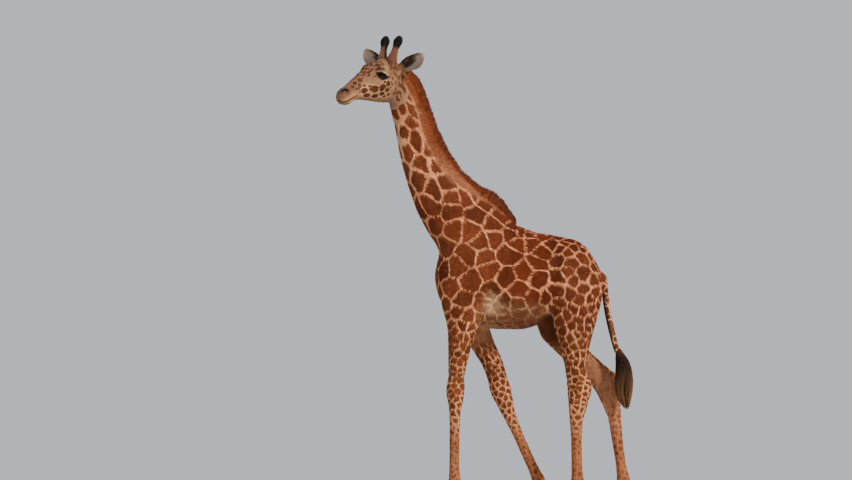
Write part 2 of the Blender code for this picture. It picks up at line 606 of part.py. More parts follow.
def main():
    clear_scene()
    hide = finish("hide", (0.42, 0.19, 0.09), 0.85)
    horn = finish("ossicone", (0.20, 0.09, 0.05), 0.85)
    hair = finish("tail_hair", (0.02, 0.017, 0.015), 0.7)
    mane_hair = finish("mane_hair", (0.27, 0.09, 0.04), 0.8)
    eye_black = finish("eye", (0.012, 0.008, 0.006), 0.12)
    horny = finish("hoof", (0.07, 0.055, 0.045), 0.5)
    body = build_body()
    guard = guard_of(body)
    build_flesh(body, hide)
    for side, sign in SIDE_SIGN.items():
        add_object(f"eye_{side}", sphere(eye_centre(sign), EYE_RADIUS, 14, 8), eye_black)
        add_object(f"ossicone_{side}", carved(ossicone(sign), ("DIFFERENCE", guard.copy())), horn)
        add_object(f"ear_{side}", carved(ear(side), ("DIFFERENCE", guard.copy())), hide)
    for name, (toe, heel) in HOOF_TOES.items():
        side = LEGS[name][0][-1][4]
        kind, which = name.split("_")
        add_object(f"{kind.replace('leg', '')}hoof_{which}", hoof(toe, heel, side), horny)
    mane = carved(loft_rows(MANE, 2, 10), ("DIFFERENCE", guard.copy()))
    add_object("mane", mane, mane_hair)
    tail = carved(loft_rows(TAIL, 2, 10), ("DIFFERENCE", guard.copy()))
    add_object("tail", tail, hide)
    tuft = carved(loft_rows(TAIL_TUFT, 2, 12), ("DIFFERENCE", guard_of(tail)))
    add_object("tail_tuft", tuft, hair)
    centre_on_floor(list(bpy.data.objects))
    for obj in bpy.data.objects:
        rounded(obj)


main()
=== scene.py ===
"""The looks of a young reticulated giraffe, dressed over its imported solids.

One skin grows out of the flesh nodes. It is sculpted on face, joints and muscle, painted with a
net of pale lines round reddish patches, and covered with small solid tufts that lie along the
body. The mane, tail, ossicones, lashes and ear hair are locks, and eyes and hooves are pieces of
their own.
"""

import math

import bmesh
import bpy
import numpy as np
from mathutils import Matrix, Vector, bvhtree, kdtree, noise


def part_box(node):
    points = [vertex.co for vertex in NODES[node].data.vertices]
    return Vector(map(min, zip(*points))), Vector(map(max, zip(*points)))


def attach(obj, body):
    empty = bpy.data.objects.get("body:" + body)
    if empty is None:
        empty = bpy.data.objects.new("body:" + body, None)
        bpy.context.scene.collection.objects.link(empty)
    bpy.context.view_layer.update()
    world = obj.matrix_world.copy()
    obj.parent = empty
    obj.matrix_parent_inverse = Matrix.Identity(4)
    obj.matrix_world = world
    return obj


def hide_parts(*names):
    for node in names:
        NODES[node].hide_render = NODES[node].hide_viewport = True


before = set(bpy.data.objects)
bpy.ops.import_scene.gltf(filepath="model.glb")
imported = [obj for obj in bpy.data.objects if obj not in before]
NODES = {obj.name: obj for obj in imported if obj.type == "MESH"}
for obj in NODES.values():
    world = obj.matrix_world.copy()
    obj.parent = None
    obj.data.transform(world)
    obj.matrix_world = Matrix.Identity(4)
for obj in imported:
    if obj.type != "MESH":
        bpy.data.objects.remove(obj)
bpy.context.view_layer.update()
RNG = np.random.default_rng(7)

SIGN = {"left": 1.0, "right": -1.0}  # of the head's left coordinate
FEET = [(pair, side) for pair in ("fore", "hind") for side in SIGN]
FLESH = ["head", "neck", "trunk", "tail", "ear_left", "ear_right"]
FLESH += [f"{pair}leg_{side}_{part}" for pair, side in FEET for part in ("upper", "lower")]

# The head's frame: forward along the jaw, left, up, from the point midway between the eyes.
HEAD_YAW = math.radians(40)
FORWARD = np.array([-math.cos(HEAD_YAW), -math.sin(HEAD_YAW), 0.0])
LEFT = np.array([math.sin(HEAD_YAW), -math.cos(HEAD_YAW), 0.0])
UP = np.array([0.0, 0.0, 1.0])
SIDE_Y = np.array([0.0, 1.0, 0.0])
EYE_PLACE = (-0.012, 0.073, 0.001)
EYE_RADIUS = 0.0225


def box_centre(node):
    """The middle of a node's box."""
    low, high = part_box(node)
    return (np.array(low) + np.array(high)) / 2


EYE_MIDDLE = (box_centre("eye_left") + box_centre("eye_right")) / 2
HEAD_ORIGIN = EYE_MIDDLE - FORWARD * EYE_PLACE[0] - UP * EYE_PLACE[2]
# All places below are counted from a point on the floor 0.814 m behind the head's origin.
BASE = np.array([HEAD_ORIGIN[0] + 0.814, HEAD_ORIGIN[1] + 0.125, 0.0])


def place(points):
    """Points of the frame from (x, z, y) triples counted from BASE."""
    rows = np.asarray(points, float)
    return np.stack([rows[..., 0], rows[..., 2], rows[..., 1]], -1) + BASE


def head_place(points):
    """Points of the frame from (forward, left, up) ones of the head."""
    rows = np.asarray(points, float)
    return HEAD_ORIGIN + rows[..., :1] * FORWARD + rows[..., 1:2] * LEFT + rows[..., 2:3] * UP


def mirrored(points, sign):
    """Points given for the head's left side, on the side that sign says."""
    return head_place(np.asarray(points, float) * (1, sign, 1))


def head_coords(points):
    """(forward, left, up) of points of the frame."""
    rel = points - HEAD_ORIGIN
    return rel @ FORWARD, rel @ LEFT, rel @ UP


# Middle lines of the body's parts, as (x, z, y), each run the way the hair lies.
NECK_LINE = place((
    (-0.668, 2.387, -0.03), (-0.63, 2.252, -0.02), (-0.5925, 2.142, -0.012), (-0.567, 2.04, -0.006),
    (-0.5235, 1.931, 0), (-0.4655, 1.819, 0), (-0.395, 1.716, 0), (-0.32, 1.6255, 0),
    (-0.22, 1.53, 0)))
TRUNK_LINE = place((
    (-0.22, 1.53, 0), (-0.16, 1.40, 0), (-0.06, 1.33, 0), (0.08, 1.31, 0), (0.21, 1.30, 0),
    (0.33, 1.27, 0), (0.39, 1.20, 0)))
TAIL_LINE = place((
    (0.39, 1.34, 0), (0.448, 1.3035, 0), (0.4655, 1.234, 0), (0.476, 1.1515, 0),
    (0.4925, 1.0585, 0), (0.5155, 0.9615, 0), (0.534, 0.896, 0)))
LEG_LINES = {
    "foreleg_left": place((
        (-0.31, 1.36, -0.10), (-0.317, 1.232, -0.108), (-0.313, 1.128, -0.116),
        (-0.315, 1.045, -0.122), (-0.324, 0.973, -0.125), (-0.344, 0.822, -0.126),
        (-0.354, 0.688, -0.126), (-0.358, 0.555, -0.128), (-0.3605, 0.434, -0.13),
        (-0.3615, 0.27, -0.132), (-0.3625, 0.144, -0.134), (-0.392, 0.044, -0.136))),
    "foreleg_right": place((
        (-0.31, 1.36, 0.10), (-0.311, 1.232, 0.108), (-0.2835, 1.136, 0.116),
        (-0.2585, 1.048, 0.121), (-0.225, 0.971, 0.124), (-0.1525, 0.833, 0.125),
        (-0.106, 0.683, 0.125), (-0.063, 0.5555, 0.127), (-0.0125, 0.4415, 0.129),
        (0.061, 0.2765, 0.131), (0.11, 0.158, 0.133), (0.093, 0.045, 0.135))),
    "hindleg_left": place((
        (0.3175, 1.378, -0.09), (0.3125, 1.264, -0.104), (0.305, 1.166, -0.11),
        (0.298, 1.078, -0.115), (0.2945, 0.99, -0.118), (0.3015, 0.833, -0.121),
        (0.322, 0.712, -0.121), (0.315, 0.583, -0.122), (0.308, 0.407, -0.124),
        (0.3105, 0.27, -0.126), (0.311, 0.146, -0.128), (0.28, 0.044, -0.13))),
    "hindleg_right": place((
        (0.305, 1.378, 0.09), (0.289, 1.265, 0.104), (0.263, 1.155, 0.11),
        (0.2355, 1.053, 0.115), (0.226, 0.983, 0.118), (0.333, 0.854, 0.121),
        (0.449, 0.745, 0.121), (0.499, 0.6455, 0.121), (0.5235, 0.525, 0.123),
        (0.5355, 0.4235, 0.124), (0.567, 0.2115, 0.127), (0.557, 0.045, 0.13))),
}
HEAD_LINE = head_place((
    (0.25, 0, -0.12), (0.2, 0, -0.105), (0.1, 0, -0.06), (0.0, 0, -0.03), (-0.1, 0, -0.02),
    (-0.17, 0, -0.01)))
MIDLINE_Y = BASE[1]
BODY_MIDDLE = place((0.0, 1.40, 0.0))
HEAD_REACH = 0.30  # what is nearer to the head's origin belongs to the head
MUZZLE_REACH = 0.36  # and before the eyes, what is nearer than this

# Ears, as in the source: how far each is turned back and raised.
EAR_ROOT = (-0.145, 0.045, 0.028)
EAR_LENGTH = 0.202
EAR_TURN = {"left": (12, 27), "right": (-12, 37)}
# Stations of an ear: (share of its length, half width, height over the axis).
EAR_STATIONS = (
    (0.0, 0.022, 0.003), (0.12, 0.029, 0.005), (0.25, 0.035, 0.005), (0.41, 0.041, 0.001),
    (0.57, 0.045, -0.006), (0.73, 0.044, -0.011), (0.87, 0.034, -0.009), (0.96, 0.020, -0.003),
    (1.0, 0.008, 0.0),
)

OSSICONE_ROOT = (-0.095, 0.0345, 0.046)
OSSICONE_LENGTH = 0.185
OSSICONE_PROFILE = (
    (-0.12, 0.020), (0.0, 0.034), (0.24, 0.032), (0.34, 0.0255), (0.48, 0.0205), (0.62, 0.0200),
    (0.72, 0.0240), (0.80, 0.0265), (0.88, 0.0205), (0.95, 0.0115), (1.0, 0.004),
)
# Levels of a claw: (height, reach forward and back, breadth).
CLAW_LEVELS = ((0.0, 1.0, 1.0), (0.006, 1.0, 1.01), (0.020, 0.95, 0.97), (0.034, 0.88, 0.92),
               (0.0445, 0.80, 0.86), (0.052, 0.70, 0.74))
CLAW_TOP = CLAW_LEVELS[-1][0]
CLAW_SIDES = 28
OSSICONE_LEAN = (math.sin(math.radians(17)), math.sin(math.radians(8)))

# The mane's stations: x and z of its hair's tips and of its foot on the neck, y, half width.
MANE_ROWS = np.array((
    (-0.645, 2.496, -0.680, 2.455, -0.004, 0.010), (-0.622, 2.468, -0.656, 2.430, -0.018, 0.012),
    (-0.590, 2.430, -0.628, 2.400, -0.030, 0.014), (-0.556, 2.396, -0.608, 2.352, -0.028, 0.017),
    (-0.522, 2.328, -0.574, 2.298, -0.023, 0.019), (-0.484, 2.222, -0.532, 2.196, -0.015, 0.020),
    (-0.446, 2.112, -0.496, 2.086, -0.008, 0.021), (-0.391, 2.002, -0.446, 1.968, -0.003, 0.022),
    (-0.319, 1.892, -0.364, 1.850, 0.0, 0.022), (-0.215, 1.804, -0.252, 1.752, 0.0, 0.022),
    (-0.138, 1.771, -0.180, 1.690, 0.0, 0.024), (-0.088, 1.722, -0.122, 1.650, 0.0, 0.024),
    (-0.047, 1.660, -0.080, 1.615, 0.0, 0.022), (-0.012, 1.612, -0.040, 1.585, 0.0, 0.014),
))
# The tail tuft's stations: x and z of its front edge and of its rear edge, half width.
TUFT_ROWS = (
    (0.524, 0.900, 0.552, 0.912, 0.013), (0.522, 0.862, 0.574, 0.884, 0.024),
    (0.520, 0.820, 0.606, 0.840, 0.034), (0.516, 0.765, 0.624, 0.778, 0.040),
    (0.512, 0.705, 0.626, 0.706, 0.040), (0.524, 0.645, 0.614, 0.636, 0.032),
    (0.550, 0.600, 0.604, 0.594, 0.018), (0.572, 0.578, 0.594, 0.576, 0.006),
)

# Numbers for the quick build and for the full one.
AMOUNTS = {
    "smoothing": (24, 130), "coat": (60000, 230000), "mane": (2400, 11000), "mane pieces": (1, 2),
    "tail tuft": (300, 2500), "ossicone": (700, 3200), "ear": (240, 1100),
}

# Colours, linear.
LINE_BODY = (1.0, 0.42, 0.205)
LINE_THROAT = (0.88, 0.52, 0.28)
LINE_NAPE = (0.58, 0.26, 0.120)
LINE_BELLY = (0.84, 0.48, 0.27)
# Belly midline lines: rust, darkened as painted shade.
LINE_KEEL_RUST_AND_SHADE = (0.46, 0.215, 0.105)
LINE_FOLD = (1.0, 0.61, 0.33)
LINE_LEG = (0.90, 0.40, 0.195)
PATCH_BODY = (0.160, 0.030, 0.0100)
PATCH_DARK = (0.245, 0.064, 0.0215)
PATCH_NECK = (0.235, 0.061, 0.0225)
PATCH_BELLY = (0.32, 0.125, 0.056)
PATCH_FOLD = (0.86, 0.50, 0.26)
PATCH_LEG = (0.205, 0.056, 0.017)
PATCH_HAUNCH = (0.200, 0.050, 0.0175)
INNER_TAN = (0.56, 0.25, 0.125)
# Upper inner thigh: dark rust, partly painted shade.
GROIN_RUST_AND_SHADE = (0.165, 0.052, 0.020)
# Reddish painted shade on the underside that faces down.
KEEL_RUST_AND_SHADE = (0.24, 0.085, 0.045)
SHANK = (0.46, 0.168, 0.067)
SHANK_PATCH = (0.27, 0.085, 0.032)
PASTERN = (0.31, 0.145, 0.075)
FACE_TAN = (0.33, 0.160, 0.080)
FOREHEAD_TAN = (0.37, 0.180, 0.103)
FOREHEAD_RUST = (0.112, 0.040, 0.022)
TEMPLE_RUST = (0.135, 0.048, 0.027)
FACE_YELLOW = (0.50, 0.30, 0.15)
NAPE_LINE = (0.40, 0.195, 0.105)
NAPE_PATCH = (0.160, 0.060, 0.026)
# Grey mottle under the jaw, partly painted shade.
THROAT_GREY_SHADE = (0.36, 0.23, 0.145)
FACE_CREAM = (0.385, 0.205, 0.108)
FACE_NET = (0.66, 0.38, 0.215)
SPOT = (0.115, 0.034, 0.014)
SPOT_PALE = (0.108, 0.035, 0.016)
MUZZLE_BROWN = (0.110, 0.050, 0.030)
MUZZLE_ORANGE = (0.52, 0.235, 0.105)
LIP_PINK = (0.46, 0.24, 0.14)
CHIN = (0.17, 0.085, 0.045)
MOUTH_DARK = (0.030, 0.016, 0.012)
NEAR_BLACK = (0.010, 0.008, 0.007)
EYE_SKIN = (0.020, 0.013, 0.010)
# Pale upper lid, partly a painted highlight.
LID_CREAM_HIGHLIGHT = (0.74, 0.49, 0.30)
EAR_PALE = (0.50, 0.375, 0.285)
EAR_DARK = (0.060, 0.025, 0.015)
EAR_BACK = (0.40, 0.21, 0.11)
EAR_RIM = (0.095, 0.040, 0.022)
OSSICONE_RUST = (0.255, 0.110, 0.058)
BAND = (0.27, 0.068, 0.024)
BAND_LOW = (0.50, 0.185, 0.085)
BAND_EDGE = (0.74, 0.34, 0.17)
MANE_ROOT = (0.29, 0.068, 0.021)
MANE_TIP = (0.145, 0.032, 0.011)
TAIL_PATCH = (0.135, 0.040, 0.017)
TAIL_DARK = (0.045, 0.020, 0.012)
TUFT_BLACK = (0.024, 0.014, 0.010)
TUFT_BROWN = (0.300, 0.130, 0.058)
BRUSH_BLACK = (0.010, 0.008, 0.008)
MANE_CORE = (0.10, 0.024, 0.008)
EYELID = (0.016, 0.011, 0.009)
HOOF_DARK = (0.030, 0.022, 0.017)
HOOF_PALE = (0.15, 0.105, 0.07)
HAIR_SHINE = 0.12
# The eye from its middle out: the ends of the colour ramp, then the stops between them.
IRIS_STOPS = (
    (0.0, (0.002, 0.002, 0.002)), (1.0, (0.03, 0.02, 0.015)), (0.30, (0.003, 0.002, 0.002)),
    (0.36, (0.035, 0.014, 0.006)), (0.60, (0.022, 0.009, 0.004)), (0.70, (0.004, 0.003, 0.003)),
    (0.80, (0.015, 0.009, 0.007)),
)


def ease(low, high, x):
    """0 before low and 1 past high, or the other way round, eased between."""
    t = np.clip((x - low) / (high - low), 0, 1)
    return t * t * (3 - 2 * t)


def lengths(vectors):
    """The length of each vector."""
    return np.linalg.norm(vectors, axis=-1)


def unit(vectors):
    """The vectors, made one long."""
    return vectors / np.maximum(lengths(vectors), 1e-9)[..., None]


def towards(vector, way):
    """The vector, or its opposite if that points the given way."""
    return vector if vector @ way > 0 else -vector


def fade(first, second, share):
    """Colours between two, by the share of the second."""
    share = share[..., None]
    return np.asarray(first) * (1 - share) + np.asarray(second) * share


def amount(what):
    """The number for the full build."""
    return AMOUNTS[what][1]


def head_distance(points):
    """How far each point is from the head's origin."""
    return lengths(points - HEAD_ORIGIN)


def resample(line, step):
    """Points each step along a line, and the directions there."""
    line = np.asarray(line, float)
    along = np.concatenate([[0], np.cumsum(lengths(np.diff(line, axis=0)))])
    at = np.linspace(0, along[-1], max(2, int(along[-1] / step)))
    points = np.stack([np.interp(at, along, line[:, k]) for k in range(3)], 1)
    return points, unit(np.gradient(points, axis=0))


def distance_to(points, line):
    """How far each point is from a polyline."""
    best = np.full(len(points), 1e9)
    for a, b in zip(line[:-1], line[1:]):
        ab = b - a
        t = np.clip((points - a) @ ab / max(ab @ ab, 1e-12), 0, 1)
        best = np.minimum(best, lengths(points - a - t[:, None] * ab))
    return best


def on_tail(points, edge=0.045, first=2):
    """1 on the tail, from the given place of its line on, and 0 elsewhere."""
    return ease(edge, 0.035, distance_to(points, TAIL_LINE[first:]))


def new_object(name, data, materials=()):
    """Links an object for a mesh, a light or a camera."""
    made = bpy.data.objects.new(name, data)
    bpy.context.scene.collection.objects.link(made)
    for look in materials:
        data.materials.append(look)
    return made


def evaluated(obj):
    """The object's mesh with its modifiers applied; the object goes."""
    graph = bpy.context.evaluated_depsgraph_get()
    mesh = bpy.data.meshes.new_from_object(obj.evaluated_get(graph))
    bpy.data.objects.remove(obj, do_unlink=True)
    return mesh


def opened(mesh):
    """The mesh as a bmesh, its points numbered."""
    shape = bmesh.new()
    shape.from_mesh(mesh)
    shape.verts.ensure_lookup_table()
    return shape


def closed(shape, mesh):
    """The mesh with the bmesh written into it."""
    shape.to_mesh(mesh)
    shape.free()
    return mesh


def read(data, field, size, kind=np.float32):
    """One field of all items, in rows of a size."""
    flat = np.empty(len(data) * size, kind)
    data.foreach_get(field, flat)
    return flat.reshape(-1, size)


def read_points(mesh):
    """Vertex places as an array."""
    return read(mesh.vertices, "co", 3).astype(float)


def read_normals(mesh):
    """Vertex normals as an array."""
    return read(mesh.vertex_normals, "vector", 3).astype(float)


def flat32(values):
    """The values in one row, as Blender takes them."""
    return np.ascontiguousarray(values, np.float32).ravel()


def write_points(mesh, points):
    """Sets the vertex places."""
    mesh.vertices.foreach_set("co", flat32(points))
    mesh.update()


def mesh_from(name, points, faces):
    """A mesh from arrays of points and of faces, all of one size."""
    mesh = bpy.data.meshes.new(name)
    faces = np.asarray(faces, np.int32)
    count, size = faces.shape
    mesh.vertices.add(len(points))
    mesh.vertices.foreach_set("co", flat32(points))
    mesh.loops.add(count * size)
    mesh.loops.foreach_set("vertex_index", faces.ravel())
    mesh.polygons.add(count)
    mesh.polygons.foreach_set("loop_start", np.arange(0, count * size, size, dtype=np.int32))
    mesh.polygons.foreach_set("loop_total", np.full(count, size, np.int32))
    mesh.update(calc_edges=True)
    return mesh


def tube_faces(rings, sides, looped=False, capped=False):
    """Triangles between neighbouring rings of points, and over the two ends."""
    faces = []
    for ring in range(rings if looped else rings - 1):
        for k in range(sides):
            a, b = ring * sides + k, ring * sides + (k + 1) % sides
            c, d = (b + sides) % (rings * sides), (a + sides) % (rings * sides)
            faces += [(a, b, c), (a, c, d)]
    last = (rings - 1) * sides
    for k in range(1, sides - 1 if capped else 1):
        faces += [(0, k + 1, k), (last, last + k, last + k + 1)]
    return faces


def add_attribute(mesh, name, kind, domain, values):
    """Stores an attribute on a mesh; colours get their fourth value here."""
    layer = mesh.attributes.new(name, kind, domain)
    field = {"FLOAT": "value", "FLOAT_VECTOR": "vector", "FLOAT_COLOR": "color"}[kind]
    if kind == "FLOAT_COLOR":
        values = np.column_stack([values, np.ones(len(values))])
    layer.data.foreach_set(field, flat32(values))


def read_values(mesh, name):
    """A number stored on the vertices; the attribute goes."""
    values = read(mesh.attributes[name].data, "value", 1)[:, 0].astype(float)
    mesh.attributes.remove(mesh.attributes[name])
    return values


def point_tree(points):
    """A tree of points, to find the nearest of them."""
    tree = kdtree.KDTree(len(points))
    for index, point in enumerate(points):
        tree.insert(point, index)
    tree.balance()
    return tree


FLOW_CHUNK = 20000  # points taken at a time, to spare memory


def flow_at(points):
    """The way the hair lies at each point, before it is laid along the skin."""
    lines = [NECK_LINE, TRUNK_LINE, TAIL_LINE, HEAD_LINE, *LEG_LINES.values()]
    spots, ways = (np.concatenate(rows) for rows in zip(*(resample(line, 0.04) for line in lines)))
    found = []
    for part in np.split(points, range(FLOW_CHUNK, len(points), FLOW_CHUNK)):
        gap = ((part[:, None] - spots[None]) ** 2).sum(-1)
        nearest = gap.min(1, keepdims=True)
        found.append(np.exp(-(gap - nearest) / (0.05**2 + 0.25 * nearest)) @ ways)
    return unit(np.concatenate(found))


def ear_frame(side):
    """Root, direction, forward edge and upright of an ear."""
    back, rise = (math.radians(angle) for angle in EAR_TURN[side])
    sign = SIGN[side]
    along = (-math.sin(back) * math.cos(rise) * FORWARD
             + sign * math.cos(back) * math.cos(rise) * LEFT + math.sin(rise) * UP)
    across = towards(unit(np.cross(UP, along)), FORWARD)
    return mirrored(EAR_ROOT, sign), along, across, towards(np.cross(along, across), UP)


def ear_coords(points, side):
    """Share along the ear, height across its leaf, and depth before it."""
    root, along, across, upright = ear_frame(side)
    rel = points - root
    return rel @ along / EAR_LENGTH, rel @ upright, rel @ across


def in_ear(points):
    """1 on the ears, 0 elsewhere."""
    found = np.zeros(len(points))
    for side in SIGN:
        share, height, depth = ear_coords(points, side)
        hold = ease(0.20, 0.30, share) * ease(1.10, 1.04, share)
        hold = hold * (np.abs(height) < 0.066) * (np.abs(depth) < 0.05)
        found = np.maximum(found, hold)
    return found


# ---------------------------------------------------------------- the skin's shape

FLESH_GROWTH = 0.001  # by which the nodes are swelled so that they merge
SKIN_GRAIN = 0.0040
SKIN_TRIANGLES = 120000


def joined_flesh():
    """All flesh nodes and eyeballs in one mesh, each grown a little so that they merge."""
    whole = bmesh.new()
    for name in FLESH + ["eye_left", "eye_right"]:
        part = opened(NODES[name].data)
        bmesh.ops.remove_doubles(part, verts=part.verts, dist=1e-5)
        part.normal_update()
        for vertex in part.verts:
            vertex.co += vertex.normal * FLESH_GROWTH
        mesh = closed(part, bpy.data.meshes.new("part"))
        whole.from_mesh(mesh)
        bpy.data.meshes.remove(mesh)
    return closed(whole, bpy.data.meshes.new("flesh"))


def remeshed(mesh):
    """The mesh as one closed surface of even grain."""
    obj = new_object("remeshed", mesh)
    grain = obj.modifiers.new("grain", "REMESH")
    grain.mode = "VOXEL"
    grain.voxel_size = SKIN_GRAIN
    return evaluated(obj)


def diffused(values, edges, valence, weight, passes):
    """Values spread along the edges."""
    values = values.astype(np.float32)
    a, b = edges[:, 0], edges[:, 1]
    count = len(values)
    pull = (0.7 * weight)[:, None].astype(np.float32)
    for _ in range(passes):
        total = np.empty_like(values)
        for axis in range(3):
            column = values[:, axis]
            total[:, axis] = np.bincount(a, column[b], count) + np.bincount(b, column[a], count)
        values = values + pull * (total / valence - values)
    return values.astype(float)


def soften(mesh, passes):
    """Rounds the solids' facets off without thinning the body."""
    points = read_points(mesh)
    edges = read(mesh.edges, "vertices", 2, np.int32)
    valence = np.bincount(edges.ravel(), minlength=len(points)).astype(np.float32)[:, None]
    # Legs, head, tail and ears keep more of their shape.
    weight = 1 - 0.86 * ease(1.05, 0.85, points[:, 2])
    weight *= 1 - 0.86 * ease(0.32, 0.24, head_distance(points))
    weight *= 1 - 0.9 * on_tail(points, 0.05, 1)
    weight *= 1 - 0.9 * in_ear(points)
    eased = diffused(points, edges, valence, weight, passes)
    lost = diffused(points - eased, edges, valence, weight, passes)
    write_points(mesh, eased + lost)


def thinned(mesh):
    """The mesh with fewer faces, most of them kept on the head."""
    obj = new_object("thinned", mesh)
    group = obj.vertex_groups.new(name="coarse")
    share = 0.25 + 0.75 * ease(0.26, 0.36, head_distance(read_points(mesh)))
    share = np.round(share * 8) / 8
    for level in np.unique(share):
        group.add(np.nonzero(share == level)[0].tolist(), float(level), "REPLACE")
    thin = obj.modifiers.new("thin", "DECIMATE")
    thin.ratio = SKIN_TRIANGLES / (2 * len(mesh.polygons))
    thin.vertex_group = group.name
    thin.vertex_group_factor = 0.6
    thin.use_collapse_triangulate = True
    return evaluated(obj)


def refined(mesh, wanted):
    """Splits the faces where wanted(points) is true into four."""
    fine = wanted(read_points(mesh))
    shape = opened(mesh)
    edges = [e for e in shape.edges if fine[e.verts[0].index] and fine[e.verts[1].index]]
    bmesh.ops.subdivide_edges(shape, edges=edges, cuts=1, use_grid_fill=True, smooth=0.3)
    bmesh.ops.triangulate(shape, faces=shape.faces)
    return closed(shape, mesh)


# Strokes on the head: middle line, breadth, height along the skin. Mirrored to the other side.
HEAD_STROKES = (
    (((0.040, 0.084, 0.012), (0.012, 0.094, 0.030), (-0.030, 0.094, 0.030), (-0.058, 0.086, 0.010)),
     0.010, 0.0055),  # orbit over the eye
    (((0.030, 0.080, -0.034), (-0.020, 0.088, -0.036), (-0.055, 0.086, -0.022)), 0.008, 0.0030),
    (((0.150, 0.045, -0.075), (0.060, 0.070, -0.060), (0.000, 0.084, -0.055)), 0.010, 0.0040),
    (((0.050, 0.064, -0.010), (0.100, 0.046, -0.035)), 0.014, -0.0040),  # hollow before the eye
    (((-0.085, 0.076, 0.020), (-0.060, 0.080, 0.035)), 0.015, -0.0050),  # temple
    (((-0.100, 0.052, 0.062), (-0.092, 0.064, 0.048)), 0.016, 0.0060),  # foot of the ossicone
    (((0.010, 0.060, -0.120), (-0.030, 0.072, -0.095), (-0.050, 0.078, -0.060)), 0.008, -0.0030),
    (((0.090, 0.050, -0.118), (0.010, 0.060, -0.128)), 0.010, 0.0025),  # edge of the jaw
    (((0.215, 0.038, -0.100), (0.170, 0.045, -0.100)), 0.012, 0.0030),  # upper lip
    (((0.228, 0.016, -0.150), (0.190, 0.030, -0.150), (0.165, 0.034, -0.145)), 0.009, 0.0030),
    (((0.236, 0.022, -0.068), (0.214, 0.034, -0.066), (0.200, 0.040, -0.080)), 0.007, 0.0035),
)
# The slits of the face: a name, a middle line, and what is raised or cut along it, as
# (height over the line, breadth, height along the skin).
SLITS = {
    "nostril": (((0.236, 0.022, -0.076), (0.226, 0.028, -0.069), (0.214, 0.031, -0.072),
                 (0.203, 0.036, -0.083)),
                ((0.007, 0.005, 0.0030), (-0.008, 0.006, 0.0020), (0.0, 0.0030, -0.0110))),
    "mouth": (((0.250, 0.0, -0.143), (0.235, 0.020, -0.148), (0.212, 0.036, -0.145),
               (0.190, 0.042, -0.134), (0.170, 0.044, -0.124), (0.141, 0.047, -0.115)),
              ((0.009, 0.006, 0.0022), (-0.009, 0.006, 0.0030), (0.0, 0.0026, -0.0070))),
}
# Dark spots of the face, on both sides: (forward, up, radius, how much taller than wide).
FACE_SPOTS = (
    (0.144, -0.040, 0.0105, 0.85), (0.122, -0.052, 0.0100, 1.70), (0.121, -0.089, 0.0065, 1.60),
    (0.112, -0.024, 0.0125, 0.80), (0.093, -0.082, 0.0165, 0.80), (0.034, -0.073, 0.0215, 0.70),
    (-0.015, -0.064, 0.0195, 0.95), (-0.050, -0.042, 0.0130, 1.20), (-0.078, -0.040, 0.0090, 2.60),
    (-0.049, -0.074, 0.0130, 0.85), (-0.024, -0.033, 0.0070, 0.90), (0.072, -0.106, 0.0150, 0.50),
    (0.016, -0.109, 0.0150, 0.50), (-0.026, -0.097, 0.0115, 0.70), (-0.068, -0.100, 0.0090, 1.10),
    (0.165, -0.062, 0.0080, 0.90), (0.146, -0.074, 0.0060, 1.00), (-0.086, -0.014, 0.0075, 1.60),
    (0.062, -0.058, 0.0080, 0.80), (0.093, -0.054, 0.0085, 0.70), (-0.070, -0.064, 0.0070, 1.20),
    (-0.046, -0.110, 0.0080, 0.70), (0.132, -0.070, 0.0065, 1.30), (0.050, -0.090, 0.0070, 0.80),
)
SPOT_SWELL = 1.22
SPOT_GAP = 0.0042  # pale line between spots that meet
# Strokes on the body: middle line as (x, z, y), breadth, height; mirrored to the other side.
BODY_STROKES = (
    (((-0.10, 1.60, 0.105), (-0.20, 1.42, 0.17), (-0.33, 1.26, 0.18)), 0.040, 0.010),
    (((-0.06, 1.50, 0.16), (-0.13, 1.32, 0.20), (-0.17, 1.16, 0.19)), 0.022, -0.015),
    (((-0.24, 1.36, 0.19), (-0.22, 1.22, 0.19)), 0.035, 0.008),
    (((-0.30, 1.55, 0.12), (-0.38, 1.42, 0.15)), 0.030, -0.008),
    (((0.165, 1.12, 0.19), (0.185, 1.28, 0.20), (0.205, 1.41, 0.17)), 0.018, -0.015),
    (((0.25, 1.15, 0.18), (0.26, 1.30, 0.19)), 0.050, 0.008),
    (((0.30, 1.46, 0.13), (0.38, 1.32, 0.15), (0.40, 1.18, 0.14)), 0.035, 0.006),
    (((0.215, 1.475, 0.15), (0.245, 1.455, 0.155)), 0.028, 0.011),
    (((0.05, 1.50, 0.16), (0.16, 1.47, 0.18)), 0.030, -0.005),
    (((-0.02, 1.46, 0.19), (-0.05, 1.30, 0.21), (-0.06, 1.15, 0.19)), 0.012, 0.0022),
    (((0.03, 1.46, 0.19), (0.01, 1.30, 0.22), (0.00, 1.14, 0.20)), 0.012, 0.0022),
    (((0.08, 1.45, 0.19), (0.07, 1.30, 0.22), (0.06, 1.15, 0.20)), 0.012, 0.0022),
    (((-0.42, 1.62, 0.07), (-0.50, 1.80, 0.06), (-0.575, 2.00, 0.05), (-0.62, 2.20, 0.04)),
     0.018, -0.006),
)


def leg_strokes():
    """Strokes on the joints and tendons of the four legs."""
    found = []
    rear = np.array([1.0, 0.0, 0.0])
    for name, spots in LEG_LINES.items():
        joint = spots[6]
        if name.startswith("fore"):
            found += [((joint - rear * 0.045, joint - rear * 0.045 - UP * 0.03), 0.022, 0.005),
                      ((joint + rear * 0.045, joint + rear * 0.04 + UP * 0.03), 0.014, 0.004)]
        else:
            found += [((joint + rear * 0.06 + UP * 0.01, joint + rear * 0.05 - UP * 0.04),
                       0.016, 0.005)]
        low, high = spots[10] + UP * 0.04 + rear * 0.010, spots[7] + rear * 0.012
        for side in (-SIDE_Y, SIDE_Y) if name.endswith("left") else (SIDE_Y, -SIDE_Y):
            found += [((high + side * 0.028, low + side * 0.026), 0.007, -0.0035),
                      ((joint + side * 0.045, joint + side * 0.045 - UP * 0.02), 0.016, 0.003)]
    return found


